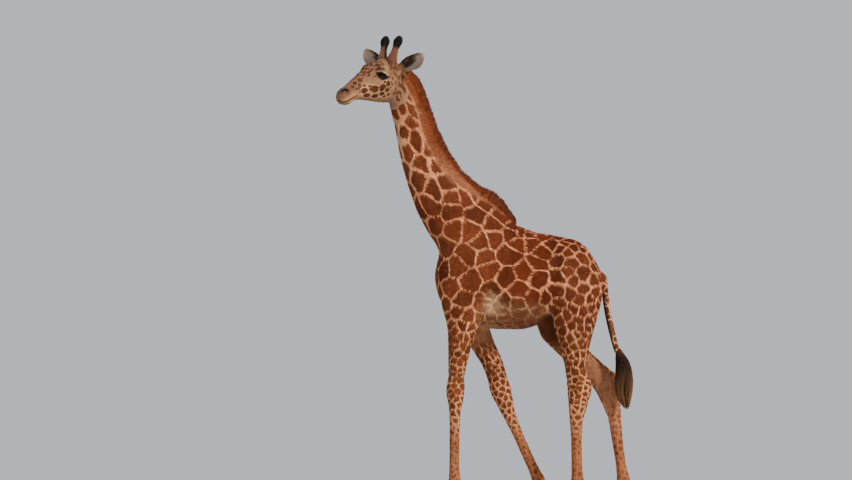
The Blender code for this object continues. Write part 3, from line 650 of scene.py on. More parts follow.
def surface_tree(mesh):
    """A tree of the mesh's faces, to find the nearest of them."""
    shape = opened(mesh)
    tree = bvhtree.BVHTree.FromBMesh(shape)
    shape.free()
    return tree


def snapped(tree, line):
    """The line laid on the surface."""
    return np.array([tree.find_nearest(Vector(point))[0] for point in line])


def on_cheek(tree, forward, up, sign):
    """The place on one side of the head that has these coordinates."""
    start, way = head_place((forward, sign * 0.16, up)), -sign * LEFT
    hit = tree.ray_cast(Vector(start), Vector(way), 0.16)[0]
    return np.array(hit) if hit else head_place((forward, 0.0, up))


def finer(mesh, lines, reach):
    """Splits the faces near lines."""
    def wanted(points):
        near = np.zeros(len(points), bool)
        for line in lines:
            near |= distance_to(points, line) < reach
        return near

    return refined(mesh, wanted)


def raise_along(points, normals, line, breadth, height):
    """Moves the points near a line along their normals."""
    reach = breadth * 3
    low, high = line.min(0) - reach, line.max(0) + reach
    near = np.nonzero(((points > low) & (points < high)).all(1))[0]
    gap = distance_to(points[near], line)
    points[near] += normals[near] * (height * np.exp(-0.5 * (gap / breadth) ** 2))[:, None]


def eye_frame(side):
    """Centre, outward, along-the-lids and up directions of an eye."""
    sign = SIGN[side]
    out = unit(0.28 * FORWARD + 0.96 * sign * LEFT)
    along = FORWARD + 0.13 * UP  # the rear corner is the lower one
    along = unit(along - out * (along @ out))
    return mirrored(EYE_PLACE, sign), out, along, towards(np.cross(along, out) * sign, UP)


def eye_coords(points, side):
    """How far the points lie along the lids, over and before the middle of an eye."""
    centre, out, along, rise = eye_frame(side)
    rel = points - centre
    return rel @ along, rel @ rise, rel @ out


LID_LENGTH = 0.0196  # half the eye's opening
LID_UPPER = 0.0102
LID_LOWER = 0.0088
LID_COVER = EYE_RADIUS + 0.0022
# The dark skin round an eye: (place along the lids, lower edge, upper edge).
EYE_SHADE = ((-0.047, 0.000, 0.002), (-0.035, -0.011, 0.0060), (-0.009, -0.0215, 0.0130),
             (0.006, -0.019, 0.0185), (0.024, -0.0110, 0.0185), (0.036, 0.000, 0.0150),
             (0.046, 0.007, 0.0120))
# The rim's section: (width off the opening, height over the ball).
LID_SECTION = ((-0.0012, 0.0004), (-0.0006, 0.0018), (0.0012, 0.0030), (0.0040, 0.0034),
               (0.0068, 0.0024), (0.0078, -0.0008), (0.0030, -0.0024), (-0.0004, -0.0012))


def lid_edge(a):
    """Heights of the upper and the lower lid at a place a along the opening, -1 to 1."""
    arch = np.clip(1 - a * a, 0, 1) ** 0.75
    return LID_UPPER * arch * (1 + 0.10 * a), -LID_LOWER * arch * (1 - 0.10 * a)


def sculpt(mesh):
    """Cuts face, muscle and tendon into the skin, then lays it under the coat."""
    tree = surface_tree(mesh)
    points, normals = read_points(mesh), read_normals(mesh)
    strokes = [(mirrored(line, sign), *rest) for line, *rest in HEAD_STROKES
               for sign in SIGN.values()]
    strokes += [(place(np.asarray(line) * (1, 1, sign)), *rest) for line, *rest in BODY_STROKES
                for sign in SIGN.values()]
    for line, breadth, height in strokes + leg_strokes():
        raise_along(points, normals, snapped(tree, line), breadth, height)
    write_points(mesh, points)
    points -= read_normals(mesh) * (FLESH_GROWTH + coat_depth(points))[:, None]
    for side in SIGN:
        centre, out = eye_frame(side)[:2]
        rel = points - centre
        reach = lengths(rel)
        near = (reach < LID_COVER) & (rel @ out > -0.002)
        # The lids stand proud of the ball round the opening and sink into the cheek.
        points[near] = centre + rel[near] / reach[near, None] * LID_COVER
    write_points(mesh, points)
    tree = surface_tree(mesh)
    slits = {name: [snapped(tree, mirrored(line, sign)) for sign in SIGN.values()]
             for name, (line, _) in SLITS.items()}
    for lines, reach in ((slits["nostril"] + slits["mouth"], 0.020), (slits["nostril"], 0.012)):
        finer(mesh, lines, reach)
    points, normals = read_points(mesh), read_normals(mesh)
    for name, lines in slits.items():
        gaps = np.minimum(*[distance_to(points, line) for line in lines])
        add_attribute(mesh, name, "FLOAT", "POINT", gaps)
    for name, lines in slits.items():
        for line in lines:
            for over, breadth, height in SLITS[name][1]:
                raise_along(points, normals, line + UP * over, breadth, height)
    write_points(mesh, points)


def open_eyes(mesh):
    """Removes the skin inside the lids."""
    points = read_points(mesh)
    inside = np.zeros(len(points), bool)
    for side in SIGN:
        a, b, c = eye_coords(points, side)
        a = a / LID_LENGTH
        upper, lower = lid_edge(a)
        inside |= (np.abs(a) < 1) & (b < upper) & (b > lower) & (c > 0) & (c < 0.045)
    shape = opened(mesh)
    gone = [face for face in shape.faces if all(inside[v.index] for v in face.verts)]
    bmesh.ops.delete(shape, geom=gone, context="FACES")
    closed(shape, mesh)


def coat_depth(points):
    """How far the skin lies under the hair's tips."""
    body = 0.0045 - 0.0022 * ease(0.95, 0.75, points[:, 2])
    face = 0.0022 - 0.0010 * ease(0.10, 0.16, head_coords(points)[0])
    depth = np.where(head_distance(points) < HEAD_REACH, face, body)
    return depth * (1 - 0.75 * in_ear(points)) * (1 - 0.7 * on_tail(points, 0.05, 1))


# ---------------------------------------------------------------- the skin's markings

def inner_sides(points):
    """How far the points lie on the inner sides of forelegs and hind legs, 0 to 1."""
    height = points[:, 2]
    found = {"fore": np.zeros(len(points)), "hind": np.zeros(len(points))}
    for name, line in LEG_LINES.items():
        rising = line[::-1]
        x, y = (points[:, k] - np.interp(height, rising[:, 2], rising[:, k]) for k in (0, 1))
        outer = -1.0 if name.endswith("left") else 1.0
        mine = (np.hypot(x, y) < 0.20) & (height < 1.15) & (outer * (points[:, 1] - MIDLINE_Y) > 0)
        kind = name[:4]
        inner = np.maximum(found[kind], ease(0.004, 0.03, -y * outer))
        found[kind] = np.where(mine, inner, found[kind])
    return found["fore"], found["hind"]


def blend(base, colour, share):
    """Colours mixed towards another one, by a share held between 0 and 1."""
    return fade(base, colour, np.clip(share, 0, 1))


def layered(base, layers):
    """A colour with others laid over it one by one, each by its share."""
    for colour, share in layers:
        base = blend(base, colour, share)
    return base


def blob(points, centre, breadth):
    """A soft round spot about a point."""
    return np.exp(-0.5 * ((points - centre) ** 2).sum(1) / breadth**2)


def both_sides(points, spot, breadth):
    """The same soft spot on both sides of the head."""
    return np.maximum(*[blob(points, mirrored(spot, sign), breadth) for sign in SIGN.values()])


def rough(points, scale, seed):
    """Smooth noise from -1 to 1."""
    shift = Vector((seed * 7.1, seed * 3.7, seed * 5.3))
    return np.array([noise.noise(Vector(p) * scale + shift) for p in points])


def streaks(points, along, across_scale, along_scale, seed):
    """Noise drawn out one way."""
    drawn = points - (points @ along)[:, None] * along * (1 - along_scale / across_scale)
    return rough(drawn, across_scale, seed)


def face_spots(points, tree):
    """How far inside one of the face's spots each point is; below 0 outside."""
    found = np.full(len(points), -1.0)
    near = np.nonzero(head_distance(points) < HEAD_REACH)[0]
    first, second = np.full((2, len(near)), -1.0)
    jag = 0.0020 * rough(points[near], 75.0, 9)
    for forward, up, radius, stretch in FACE_SPOTS:
        for sign in SIGN.values():
            rel = points[near] - on_cheek(tree, forward, up, sign)
            gap = np.sqrt((rel @ FORWARD) ** 2 * stretch + (rel @ UP) ** 2 / stretch
                          + (rel @ LEFT) ** 2)
            inside = SPOT_SWELL * radius - gap
            second = np.maximum(second, np.minimum(first, inside))
            first = np.maximum(first, inside)
    found[near] = np.minimum(first, (first - second - SPOT_GAP) * 0.7) + jag
    return found


def mane_band(points):
    """Distance to the mane's foot, the reach of the chestnut band there, and its share, 0 to 1."""
    z = points[:, 2]
    beside = distance_to(points, place(MANE_ROWS[2:12, 2:5]))
    reach = 0.046 + 0.016 * ease(2.35, 2.05, z) - 0.020 * ease(1.85, 1.70, z)
    return beside, reach, ease(2.44, 2.36, z)


def brow_marks(points):
    """Noise whose high places are the small brown marks of forehead and temple."""
    return rough(points, 64.0, 3) + 0.5 * rough(points, 140.0, 13) + 0.08


def paint_head(points, normals, slits, fine, marks):
    """The head's layers of line colour and of patch colour, and the marks with its own."""
    width, spots = marks
    forward, left, up = head_coords(points)
    far = head_distance(points)
    head = np.maximum(ease(0.30, 0.22, far), ease(0.05, 0.10, forward) * (far < MUZZLE_REACH))
    head = head * ease(-0.19, -0.13, forward)
    face = head * np.maximum(ease(-0.108, -0.088, forward), ease(0.02, 0.04, up))
    # Behind the jaw: drawn-out brown streaks on tan, greyer and mottled at the throat, partly
    # painted shade under the jaw.
    nape = ease(0.255, 0.20, far) * ease(-0.08, -0.10, forward) * (up < 0.05)
    under = nape * ease(-0.095, -0.130, up) * ease(-0.19, -0.15, forward)
    down_neck = np.array([-0.30, 0.0, 0.95])
    flecks = streaks(points, down_neck, 95.0, 34.0, 8)
    flecks += 0.5 * streaks(points, down_neck, 170.0, 60.0, 18)
    spots = np.maximum(spots, 0.010 * (flecks - 0.02 - 0.35 * under) - 0.03 * (1 - nape))
    width = width + 0.05 * ease(0.35, 0.8, nape)
    # The face: tan, with a pale cheek; forehead and temple bear rusty worm-like marks.
    cheek = face * ease(0.15, 0.11, forward) * ease(-0.01, -0.04, up)
    forehead = face * ease(-0.002, 0.022, up + 0.35 * forward) * ease(0.15, 0.09, forward)
    forehead = forehead * ease(-0.075, -0.035, forward)
    temple = face * ease(-0.055, -0.075, forward) * ease(0.015, 0.035, up)
    yellow = both_sides(points, (-0.040, 0.078, 0.043), 0.020)
    net = ease(-0.0095, -0.0030, spots) * ease(0.185, 0.150, forward)
    zone = np.clip(forehead + 0.95 * temple - 0.7 * ease(0.3, 0.8, yellow), 0, 1)
    spots = np.maximum(spots, 0.012 * (brow_marks(points) + 0.18 * temple) - 0.03 * (1 - zone))
    width = width + face * 0.05
    # Muzzle: brown bridge, orange lips, dark nostrils, mouth and chin.
    snout = face * ease(0.11, 0.17, forward)
    bridge = face * ease(0.06, 0.13, forward) * ease(-0.020, 0.012, up + 0.55 * forward)
    lip = face * both_sides(points, (0.178, 0.042, -0.112), 0.016)
    lines = [
        (NAPE_LINE, nape), (THROAT_GREY_SHADE, under * (0.35 + 0.65 * ease(-0.2, 0.3, fine)) * 0.7),
        (FACE_TAN, face), (FACE_CREAM, cheek * 0.85), (FOREHEAD_TAN, forehead),
        (FACE_YELLOW, face * ease(0.25, 0.70, yellow) * 0.9),
        (FACE_NET, face * net * ease(0.00, -0.03, up) * (0.85 + 0.3 * fine)),
        (MUZZLE_ORANGE, snout * 0.85), (MUZZLE_BROWN, bridge * (0.66 + 0.25 * fine)),
        (LIP_PINK, lip * 0.6),
        (CHIN, face * ease(-0.145, -0.156, up) * ease(0.15, 0.175, forward)),
        (MUZZLE_BROWN, ease(0.034, 0.012, slits["nostril"]) * 0.75),
        (NEAR_BLACK, ease(0.0095, 0.0045, slits["nostril"])),
        (MOUTH_DARK, ease(0.0058, 0.0030, slits["mouth"]) * 0.9),
    ]
    patches = [(NAPE_PATCH, nape), (SPOT, face), (FOREHEAD_RUST, forehead), (TEMPLE_RUST, temple),
               (SPOT_PALE, face * ease(0.09, 0.13, forward))]
    # Dark skin round the eye, a cream upper lid behind it, partly a painted highlight, and a pink
    # crease under it.
    at, low, high = np.array(EYE_SHADE).T
    for side in SIGN:
        a, b, c = eye_coords(points, side)
        facing = (c > -0.015) & (c < 0.06) & (np.abs(a) < 0.06)
        crease = np.exp(-0.5 * ((b + 0.032 - 6 * a * a) / 0.0045) ** 2) * (np.abs(a) < 0.045)
        height = np.minimum(b - np.interp(a, at, low), np.interp(a, at, high) - b)
        inside = np.minimum(height, np.minimum(a - at[0], at[-1] - a))
        slope = b - 0.0150 - 0.27 * (a + 0.012)
        lid = ease(1.0, 0.6, np.hypot((a + 0.018) / 0.027, slope / 0.0075))
        lines += [(LIP_PINK, crease * facing * 0.6),
                  (EYE_SKIN, ease(-0.0025, 0.0025, inside) * facing), (LID_CREAM_HIGHLIGHT, lid * facing)]
        width = width + 0.05 * (inside > -0.004) * facing
        spots = np.where((inside > -0.006) & facing | (lid > 0), -1.0, spots)
    # Rust round the feet of the ossicones.
    for sign in SIGN.values():
        foot = blob(points, mirrored((-0.085, 0.036, 0.100), sign), 0.026)
        lines.append((OSSICONE_RUST, ease(0.25, 0.7, foot) * 0.7))
    # Ears: dark within and along the upper rim, pale elsewhere, tan behind.
    stations, halves, middles = zip(*EAR_STATIONS)
    for side in SIGN:
        share, height, depth = ear_coords(points, side)
        mine = ease(0.14, 0.24, share) * (share < 1.15) * (np.abs(height) < 0.07)
        mine = mine * (np.abs(depth) < 0.06) * (np.abs(left) > 0.05)
        facing = ease(-0.1, 0.35, normals @ ear_frame(side)[2])
        ridge = height - np.interp(share, stations, middles) - np.interp(share, stations, halves)
        core = np.abs(height - 0.002 - 0.022 * share) + 0.008 * rough(points, 90.0, 17)
        core = ease(0.026, 0.013, core) * ease(0.80, 0.58, share + 0.10 * fine)
        rim = ease(-0.018, -0.006, ridge) * ease(1.0, 0.75, share)
        lines += [(EAR_BACK, mine * (1 - facing)), (EAR_PALE, mine * facing),
                  (EAR_RIM, mine * rim * 0.85), (EAR_DARK, mine * facing * core * 0.95)]
        width = width + 0.05 * mine
        spots = spots - mine
    return lines, patches, (width, spots)


def paint(points, normals, tree, slits):
    """Line colour, patch colour, and marks: half width of the lines, their wobble, face spots."""
    x, _, z = (points - BASE).T
    neck = ease(1.55, 1.80, z) * ease(0.18, 0.26, head_distance(points))
    inner_fore, inner_hind = inner_sides(points)
    broad, fine = rough(points, 6.0, 1), rough(points, 28.0, 2)
    # The lines: broad and creamy at the throat, fine on the back and on the legs.
    front = ease(0.0, 0.8, normals @ np.array([-0.89, 0.0, -0.46]))
    throat = neck * front * ease(1.7, 2.1, z)
    width = 0.0038 + 0.0013 * neck + 0.0042 * throat
    width -= 0.0010 * ease(1.40, 1.52, z) * (1 - neck) * (x > -0.1)
    width -= 0.0013 * ease(1.15, 0.95, z) * ease(0.55, 0.70, z)
    width += 0.0002 + 0.0024 * rough(points, 14.0, 6)
    # Belly: pale, its patches washed out; its midline rust with painted shade; palest in the fold
    # behind the elbow.
    barrel = ease(-0.28, -0.20, x) * ease(0.21, 0.14, x) * (z > 0.95)
    belly = barrel * ease(1.225, 1.115, z - 0.03 * broad)
    rust_and_shade = barrel * ease(1.15, 1.09, z) * ease(-0.12, -0.04, x)
    # Painted shade: the underside that faces down is darkened.
    underside_shade = barrel * ease(1.12, 1.06, z) * ease(-0.55, -0.9, normals[:, 2])
    squeezed = points * (1, 1, 0.60) + (0, 0, 0.40 * 1.15)
    fold = np.maximum(*[blob(squeezed, place((-0.158, 1.150, y)), 0.037) for y in (-0.19, 0.19)])
    fold = ease(0.25, 0.85, fold + 0.22 * fine + 0.12 * rough(points, 60.0, 19))
    # Lower legs fade to plain buff, and the insides of the thighs and upper arms are plain too.
    buff = ease(0.62, 0.38, z + 0.03 * fine)
    # By the groin the inner thigh is dark rust, partly painted shade between the legs.
    groin_shade = inner_hind * ease(0.86, 0.98, z) * ease(1.16, 1.08, z)
    fore = inner_fore * ease(0.88, 0.99, z) * ease(1.14, 1.02, z)
    shin = inner_hind * ease(0.98, 0.86, z)
    feet = ease(0.20, 0.06, z) * 0.7
    tail = on_tail(points)
    shaded = tail * ease(0.10, 0.55, -normals[:, 0])
    width += 0.0030 * buff
    width -= 0.0014 * tail
    lines = [
        (LINE_THROAT, throat), (LINE_NAPE, ease(2.05, 2.22, z) * 0.8), (LINE_BELLY, belly),
        (LINE_KEEL_RUST_AND_SHADE, rust_and_shade * 0.9), (KEEL_RUST_AND_SHADE, underside_shade * 0.7), (LINE_FOLD, fold * 0.9),
        (LINE_LEG, ease(1.15, 0.85, z)), (INNER_TAN, np.maximum(fore, shin)), (GROIN_RUST_AND_SHADE, groin_shade),
        (SHANK, buff), (PASTERN, feet), (TAIL_DARK, shaded * 0.9),
    ]
    # The patches are darker and browner at breast and shoulder, redder on the haunch.
    patches = [
        (PATCH_HAUNCH, ease(0.12, 0.26, x) * ease(1.50, 1.35, z)),
        (PATCH_NECK, ease(1.58, 1.80, z)),
        (PATCH_DARK, 0.8 * ease(0.05, -0.30, x) * ease(1.75, 1.5, z)),
        (PATCH_BELLY, belly * 0.78), (KEEL_RUST_AND_SHADE, underside_shade * 0.7), (PATCH_FOLD, fold * 0.85),
        (PATCH_LEG, ease(1.10, 0.90, z)), (INNER_TAN, np.maximum(fore * 0.93, shin * 0.72)),
        (GROIN_RUST_AND_SHADE, groin_shade * 0.93), (SHANK_PATCH, buff), (PASTERN, feet), (TAIL_PATCH, tail),
        (TAIL_DARK, shaded),
    ]
    marks = (width, face_spots(points, tree))
    head_lines, head_patches, marks = paint_head(points, normals, slits, fine, marks)
    width, spots = marks
    line = layered(LINE_BODY, lines + head_lines)
    patch = layered(PATCH_BODY, patches + head_patches)
    # A chestnut band runs beside the mane, with a fine pale line at its edge.
    beside, reach, start = mane_band(points)
    band = ease(reach, reach - 0.006, beside + 0.004 * fine) * start
    past = beside - reach - 0.003 + 0.006 * broad + 0.003 * fine
    edge_line = np.exp(-0.5 * (past / 0.0026) ** 2) * neck * ease(1.74, 1.84, z) * start
    edge_line = edge_line * np.clip(0.75 + 0.8 * fine, 0, 1)
    brush = streaks(points, np.array([0.75, 0.0, 0.66]), 120.0, 25.0, 5)
    lower = ease(0.25, 0.95, beside / reach + 0.35 * brush)
    lower = lower * (0.10 + 0.80 * ease(2.05, 1.85, z))
    banded = fade(BAND, BAND_LOW, lower) * (1 + 0.45 * brush[:, None])
    line, patch = (layered(old, [(banded, band), (BAND_EDGE, edge_line)]) for old in (line, patch))
    line = np.clip(line * (1 + 0.07 * broad + 0.05 * fine)[:, None], 0, 1)
    patch = np.clip(patch * (1 + 0.20 * broad + 0.12 * fine)[:, None], 0, 1)
    wobble = 0.0030 * fine + 0.0033 * rough(points, 60.0, 4)
    return line, patch, np.stack([width, wobble, spots], 1)


def patch_space(points):
    """Places in which all patches are round: along the neck they are drawn out."""
    rel = points - BASE
    way = np.array([-0.46, 0.0, 0.888])
    rise = np.clip((rel - np.array([-0.40, 0.0, 1.72])) @ way, 0, 0.80)
    shift = 0.26 * rise + 0.13 * rise**2 + 0.9 * np.maximum(rise - 0.48, 0) ** 2
    broad, fine = (np.stack([rough(points, scale, seed + axis) for axis in range(3)], 1)
                   for scale, seed in ((9.0, 20), (26.0, 30)))
    return points - shift[:, None] * way + 0.013 * broad + 0.0080 * fine


def patch_spacing(points):
    """The distance wanted between the middles of neighbouring patches."""
    x, _, z = (points - BASE).T
    size = 0.098 - 0.016 * ease(1.60, 1.75, z)
    size -= 0.018 * ease(1.80, 2.10, z) + 0.016 * ease(2.12, 2.32, z)
    back = ease(-0.16, -0.02, x) * ease(1.72, 1.60, z)
    size -= 0.044 * back * ease(1.40, 1.50, z)
    size -= 0.030 * ease(0.14, 0.26, x) * ease(1.50, 1.42, z)
    size -= 0.014 * ease(1.30, 1.12, z)
    legs = ease(1.18, 0.95, z)
    size = size * (1 - legs) + 0.036 * legs
    size += 0.020 * ease(0.29, 0.24, x) * (x > 0.1) * ease(0.92, 1.04, z) * legs
    size -= 0.007 * ease(0.86, 0.60, z)
    size *= 1 + 0.26 * rough(points, 5.0, 11)
    tail = on_tail(points)
    return size * (1 - tail) + 0.031 * tail


def scatter_seeds(points):
    """Middles of the patches, evenly yet irregularly spread over the skin."""
    order = RNG.permutation(len(points))[:SEED_TRIES]
    warped = patch_space(points[order])
    space = patch_spacing(points[order]) * 0.80
    seeds, reach = np.empty((SEED_ROOM, 3)), np.empty(SEED_ROOM)
    count = 0
    for spot, wanted in zip(warped, space):
        gap = ((seeds[:count] - spot) ** 2).sum(1)
        if not (gap < (0.5 * (reach[:count] + wanted)) ** 2).any():
            seeds[count], reach[count] = spot, wanted
            count += 1
    return seeds[:count]


def near_seeds(seeds, points, count):
    """The nearest seeds of each point."""
    tree = point_tree(seeds)
    return np.array([[item[1] for item in tree.find_n(point, count)] for point in points])


def smooth_min(a, b, k):
    """The lesser of two, rounded where they meet."""
    h = np.clip(0.5 + 0.5 * (b - a) / k, 0, 1)
    return b * (1 - h) + a * h - k * h * (1 - h)


SEED_TRIES = 60000
SEED_ROOM = 4000
ROUNDING = 0.0070  # of the patches' corners
EDGE_SOFT = 0.0012  # half the breadth of a patch's soft edge


def edge_distance(ab, ac, bc):
    """How far inside its patch a place is, from its distances to three dividing planes."""
    in_a = smooth_min(ab, ac, ROUNDING)
    in_b = smooth_min(-ab, bc, ROUNDING)
    in_c = smooth_min(-ac, -bc, ROUNDING)
    return np.maximum(np.maximum(in_a, in_b), in_c)


def mark_skin(mesh):
    """Stores the markings on the skin and returns them as arrays for the coat."""
    points, normals = read_points(mesh), read_normals(mesh)
    slits = {name: read_values(mesh, name) for name in SLITS}
    line, patch, marks = paint(points, normals, surface_tree(mesh), slits)
    faces = read(mesh.loops, "vertex_index", 1, np.int32).reshape(-1, 3)
    seeds = scatter_seeds(points)
    corners = patch_space(points)[faces]
    a, b, c = near_seeds(seeds, corners.mean(1), 3).T

    def plane(first, second):
        """Signed distance of the corners to the plane between two seeds, positive by the first."""
        between = seeds[second] - seeds[first]
        rel = corners - ((seeds[second] + seeds[first]) / 2)[:, None]
        return -(rel * between[:, None]).sum(-1) / lengths(between)[:, None]

    edges = np.stack([plane(a, b), plane(a, c), plane(b, c)], -1)
    shade = np.random.default_rng(3).uniform(0.80, 1.20, len(seeds))[a]
    add_attribute(mesh, "edges", "FLOAT_VECTOR", "CORNER", edges)
    add_attribute(mesh, "shade", "FLOAT", "FACE", shade)
    add_attribute(mesh, "line", "FLOAT_COLOR", "POINT", line)
    add_attribute(mesh, "patch", "FLOAT_COLOR", "POINT", patch)
    add_attribute(mesh, "marks", "FLOAT_VECTOR", "POINT", marks)
    return {"points": points, "normals": normals, "faces": faces, "edges": edges, "shade": shade,
            "line": line, "patch": patch, "marks": marks, **slits}


def weighed(values, weights):
    """Values at places in faces, from those at the corners and the corners' weights."""
    return (values * weights[:, :, None]).sum(1)


def colour_at(skin, face, weights, jag):
    """The skin's colour at places given by face and corner weights, with ragged patch edges."""
    line, patch, marks = (weighed(skin[name][skin["faces"][face]], weights)
                          for name in ("line", "patch", "marks"))
    width, wobble, spot = marks.T
    edges = weighed(skin["edges"][face], weights)
    inside = np.maximum(edge_distance(*edges.T) + wobble - width + jag, spot)
    return fade(line, patch * skin["shade"][face][:, None], ease(-EDGE_SOFT, EDGE_SOFT, inside))


# ---------------------------------------------------------------- materials

def material(name, roughness):
    """A Principled material and its handles."""
    made = bpy.data.materials.new(name)
    made.use_nodes = True
    tree = made.node_tree
    shader = tree.nodes["Principled BSDF"]
    shader.inputs["Roughness"].default_value = roughness
    return made, tree, shader


def add_node(tree, kind, inputs, **settings):
    """A node with its settings, and its inputs as numbers, colours or sockets to link."""
    node = tree.nodes.new("ShaderNode" + kind)
    for name, value in settings.items():
        setattr(node, name, value)
    for key, value in inputs.items():
        if isinstance(value, (int, float)):
            node.inputs[key].default_value = value
        elif isinstance(value, tuple):
            node.inputs[key].default_value = (*value, 1.0)
        else:
            tree.links.new(value, node.inputs[key])
    return node


def maths(tree, operation, *values):
    """A maths node of sockets or numbers."""
    return add_node(tree, "Math", dict(enumerate(values)), operation=operation).outputs[0]


def attribute(tree, name, output):
    """An attribute stored on the mesh."""
    return add_node(tree, "Attribute", {}, attribute_name=name).outputs[output]


def split(tree, vector):
    """The three parts of a vector."""
    return add_node(tree, "SeparateXYZ", {0: vector}).outputs


def mixed(tree, kind, factor, a, b):
    """A colour mix."""
    return add_node(tree, "Mix", {0: factor, 6: a, 7: b}, data_type="RGBA",
                    blend_type=kind).outputs[2]


def speckle(tree, scale, detail):
    """Fine noise in the object's own space."""
    spot = add_node(tree, "TexCoord", {}).outputs["Object"]
    inputs = {"Scale": scale, "Detail": detail, "Vector": spot}
    return add_node(tree, "TexNoise", inputs).outputs["Fac"]


def finish_look(tree, shader, colour, height, tone, bump):
    """Links a colour, toned by a height socket (gain, floor), and its bump (distance, strength)."""
    tone = maths(tree, "MULTIPLY_ADD", height, *tone)
    tree.links.new(mixed(tree, "MULTIPLY", 1.0, colour, tone), shader.inputs["Base Color"])
    node = add_node(tree, "Bump", {"Distance": bump[0], "Strength": bump[1], "Height": height})
    tree.links.new(node.outputs["Normal"], shader.inputs["Normal"])


def skin_material():
    """Pale lines round patches, from the distances stored on the skin."""
    made, tree, shader = material("hide", 0.72)
    shader.inputs["Specular IOR Level"].default_value = HAIR_SHINE
    ab, ac, bc = split(tree, attribute(tree, "edges", "Vector"))
    width, wobble, spot = split(tree, attribute(tree, "marks", "Vector"))
    minus_ab, minus_ac, minus_bc = (maths(tree, "MULTIPLY", value, -1.0) for value in (ab, ac, bc))
    in_a, in_b, in_c = (maths(tree, "SMOOTH_MIN", first, second, ROUNDING) for first, second
                        in ((ab, ac), (minus_ab, bc), (minus_ac, minus_bc)))
    inside = maths(tree, "MAXIMUM", maths(tree, "MAXIMUM", in_a, in_b), in_c)
    inside = maths(tree, "SUBTRACT", maths(tree, "ADD", inside, wobble), width)
    inside = maths(tree, "MAXIMUM", inside, spot)
    ragged = maths(tree, "MULTIPLY_ADD", speckle(tree, 220.0, 2.0), 0.0028, -0.0014)
    inside = maths(tree, "ADD", inside, ragged)
    ramp = add_node(tree, "MapRange", {"Value": inside, "From Min": -EDGE_SOFT,
                                       "From Max": EDGE_SOFT}, interpolation_type="SMOOTHSTEP")
    shade = attribute(tree, "shade", "Fac")
    patch = mixed(tree, "MULTIPLY", 1.0, attribute(tree, "patch", "Color"), shade)
    line = attribute(tree, "line", "Color")
    colour = mixed(tree, "MIX", ramp.outputs["Result"], line, patch)
    finish_look(tree, shader, colour, speckle(tree, 420.0, 3.0), (0.5, 0.75), (0.0015, 0.6))
    return made


def hair_material(name, roughness):
    """Tufts and locks, coloured at their roots."""
    made, tree, shader = material(name, roughness)
    tree.links.new(attribute(tree, "Col", "Color"), shader.inputs["Base Color"])
    shader.inputs["Specular IOR Level"].default_value = HAIR_SHINE
    return made


def eye_material():
    """A dark wet eye with a brown iris and a wide pupil."""
    made, tree, shader = material("eye", 0.06)
    around = add_node(tree, "VectorMath", {0: attribute(tree, "iris", "Vector")},
                      operation="LENGTH")
    ramp = add_node(tree, "ValToRGB", {0: around.outputs["Value"]})
    stops = ramp.color_ramp.elements
    for index, (position, colour) in enumerate(IRIS_STOPS):
        stop = stops[index] if index < 2 else stops.new(position)
        stop.position, stop.color = position, (*colour, 1)
    colour = mixed(tree, "MULTIPLY", 0.3, ramp.outputs["Color"], speckle(tree, 2400.0, 2.0))
    tree.links.new(colour, shader.inputs["Base Color"])
    shader.inputs["Coat Weight"].default_value = 0.15
    shader.inputs["Specular IOR Level"].default_value = 0.25
    shader.inputs["Coat Roughness"].default_value = 0.03
    return made


def hoof_material():
    """Grey-brown horn with growth rings."""
    made, tree, shader = material("hoof", 0.45)
    spot = add_node(tree, "TexCoord", {}).outputs["Object"]
    rings = add_node(tree, "TexWave", {"Scale": 85.0, "Distortion": 5.0, "Detail": 2.0,
                                       "Vector": spot}, bands_direction="Z").outputs["Fac"]
    colour = mixed(tree, "MIX", speckle(tree, 45.0, 5.0), HOOF_DARK, HOOF_PALE)
    finish_look(tree, shader, colour, rings, (0.22, 0.80), (0.0004, 0.4))
    return made


def grained_material(name, colour, roughness, grain):
    """A colour, or the one stored at the points, broken by fine noise and bump."""
    made, tree, shader = material(name, roughness)
    colour = colour or attribute(tree, "Col", "Color")
    finish_look(tree, shader, colour, speckle(tree, grain, 3.0), (0.6, 0.7), (0.001, 0.4))
    return made


# ---------------------------------------------------------------- hair

UNWRAP_FACES = 6000
UV_PATCH = 0.003  # breadth of a tuft's place on the baked image
BLADE_SUNK = 0.0009  # depth of a tuft's foot in the skin
BLADE_RIDGE = 0.42  # where a tuft is highest, as a share of its length
LOCK_SIDES = 3


class Unwrap:
    """A flat map of the skin's shape, to give each tuft its place on the baked image."""

    def __init__(self, mesh):
        obj = new_object("unwrap", mesh.copy())
        thin = obj.modifiers.new("thin", "DECIMATE")
        thin.ratio = UNWRAP_FACES / len(mesh.polygons)
        proxy = new_object("proxy", evaluated(obj))
        bpy.context.view_layer.objects.active = proxy
        for other in bpy.context.selected_objects:
            other.select_set(False)
        proxy.select_set(True)
        bpy.ops.object.mode_set(mode="EDIT")
        bpy.ops.mesh.select_all(action="SELECT")
        bpy.ops.uv.smart_project(angle_limit=math.radians(66), island_margin=0.004)
        bpy.ops.object.mode_set(mode="OBJECT")
        data = proxy.data
        data.calc_loop_triangles()
        self.points = read_points(data)
        self.triangles = read(data.loop_triangles, "vertices", 3, np.int32)
        self.loops = read(data.loop_triangles, "loops", 3, np.int32)
        self.uv = read(data.uv_layers.active.uv, "vector", 2)
        self.tree = bvhtree.BVHTree.FromPolygons(self.points.tolist(), self.triangles.tolist())
        bpy.data.objects.remove(proxy, do_unlink=True)

    def at(self, places):
        """The map places of points near the skin."""
        hits = [self.tree.find_nearest(tuple(p)) for p in places]
        spots = np.array([hit[0] for hit in hits])
        face = np.array([hit[2] for hit in hits])
        a, b, c = (self.points[self.triangles[face, k]] for k in range(3))
        area = lengths(np.cross(b - a, c - a)) + 1e-15
        share_a = lengths(np.cross(b - spots, c - spots)) / area
        share_b = lengths(np.cross(c - spots, a - spots)) / area
        share_c = np.clip(1 - share_a - share_b, 0, 1)
        return weighed(self.uv[self.loops[face]], np.stack([share_a, share_b, share_c], 1))


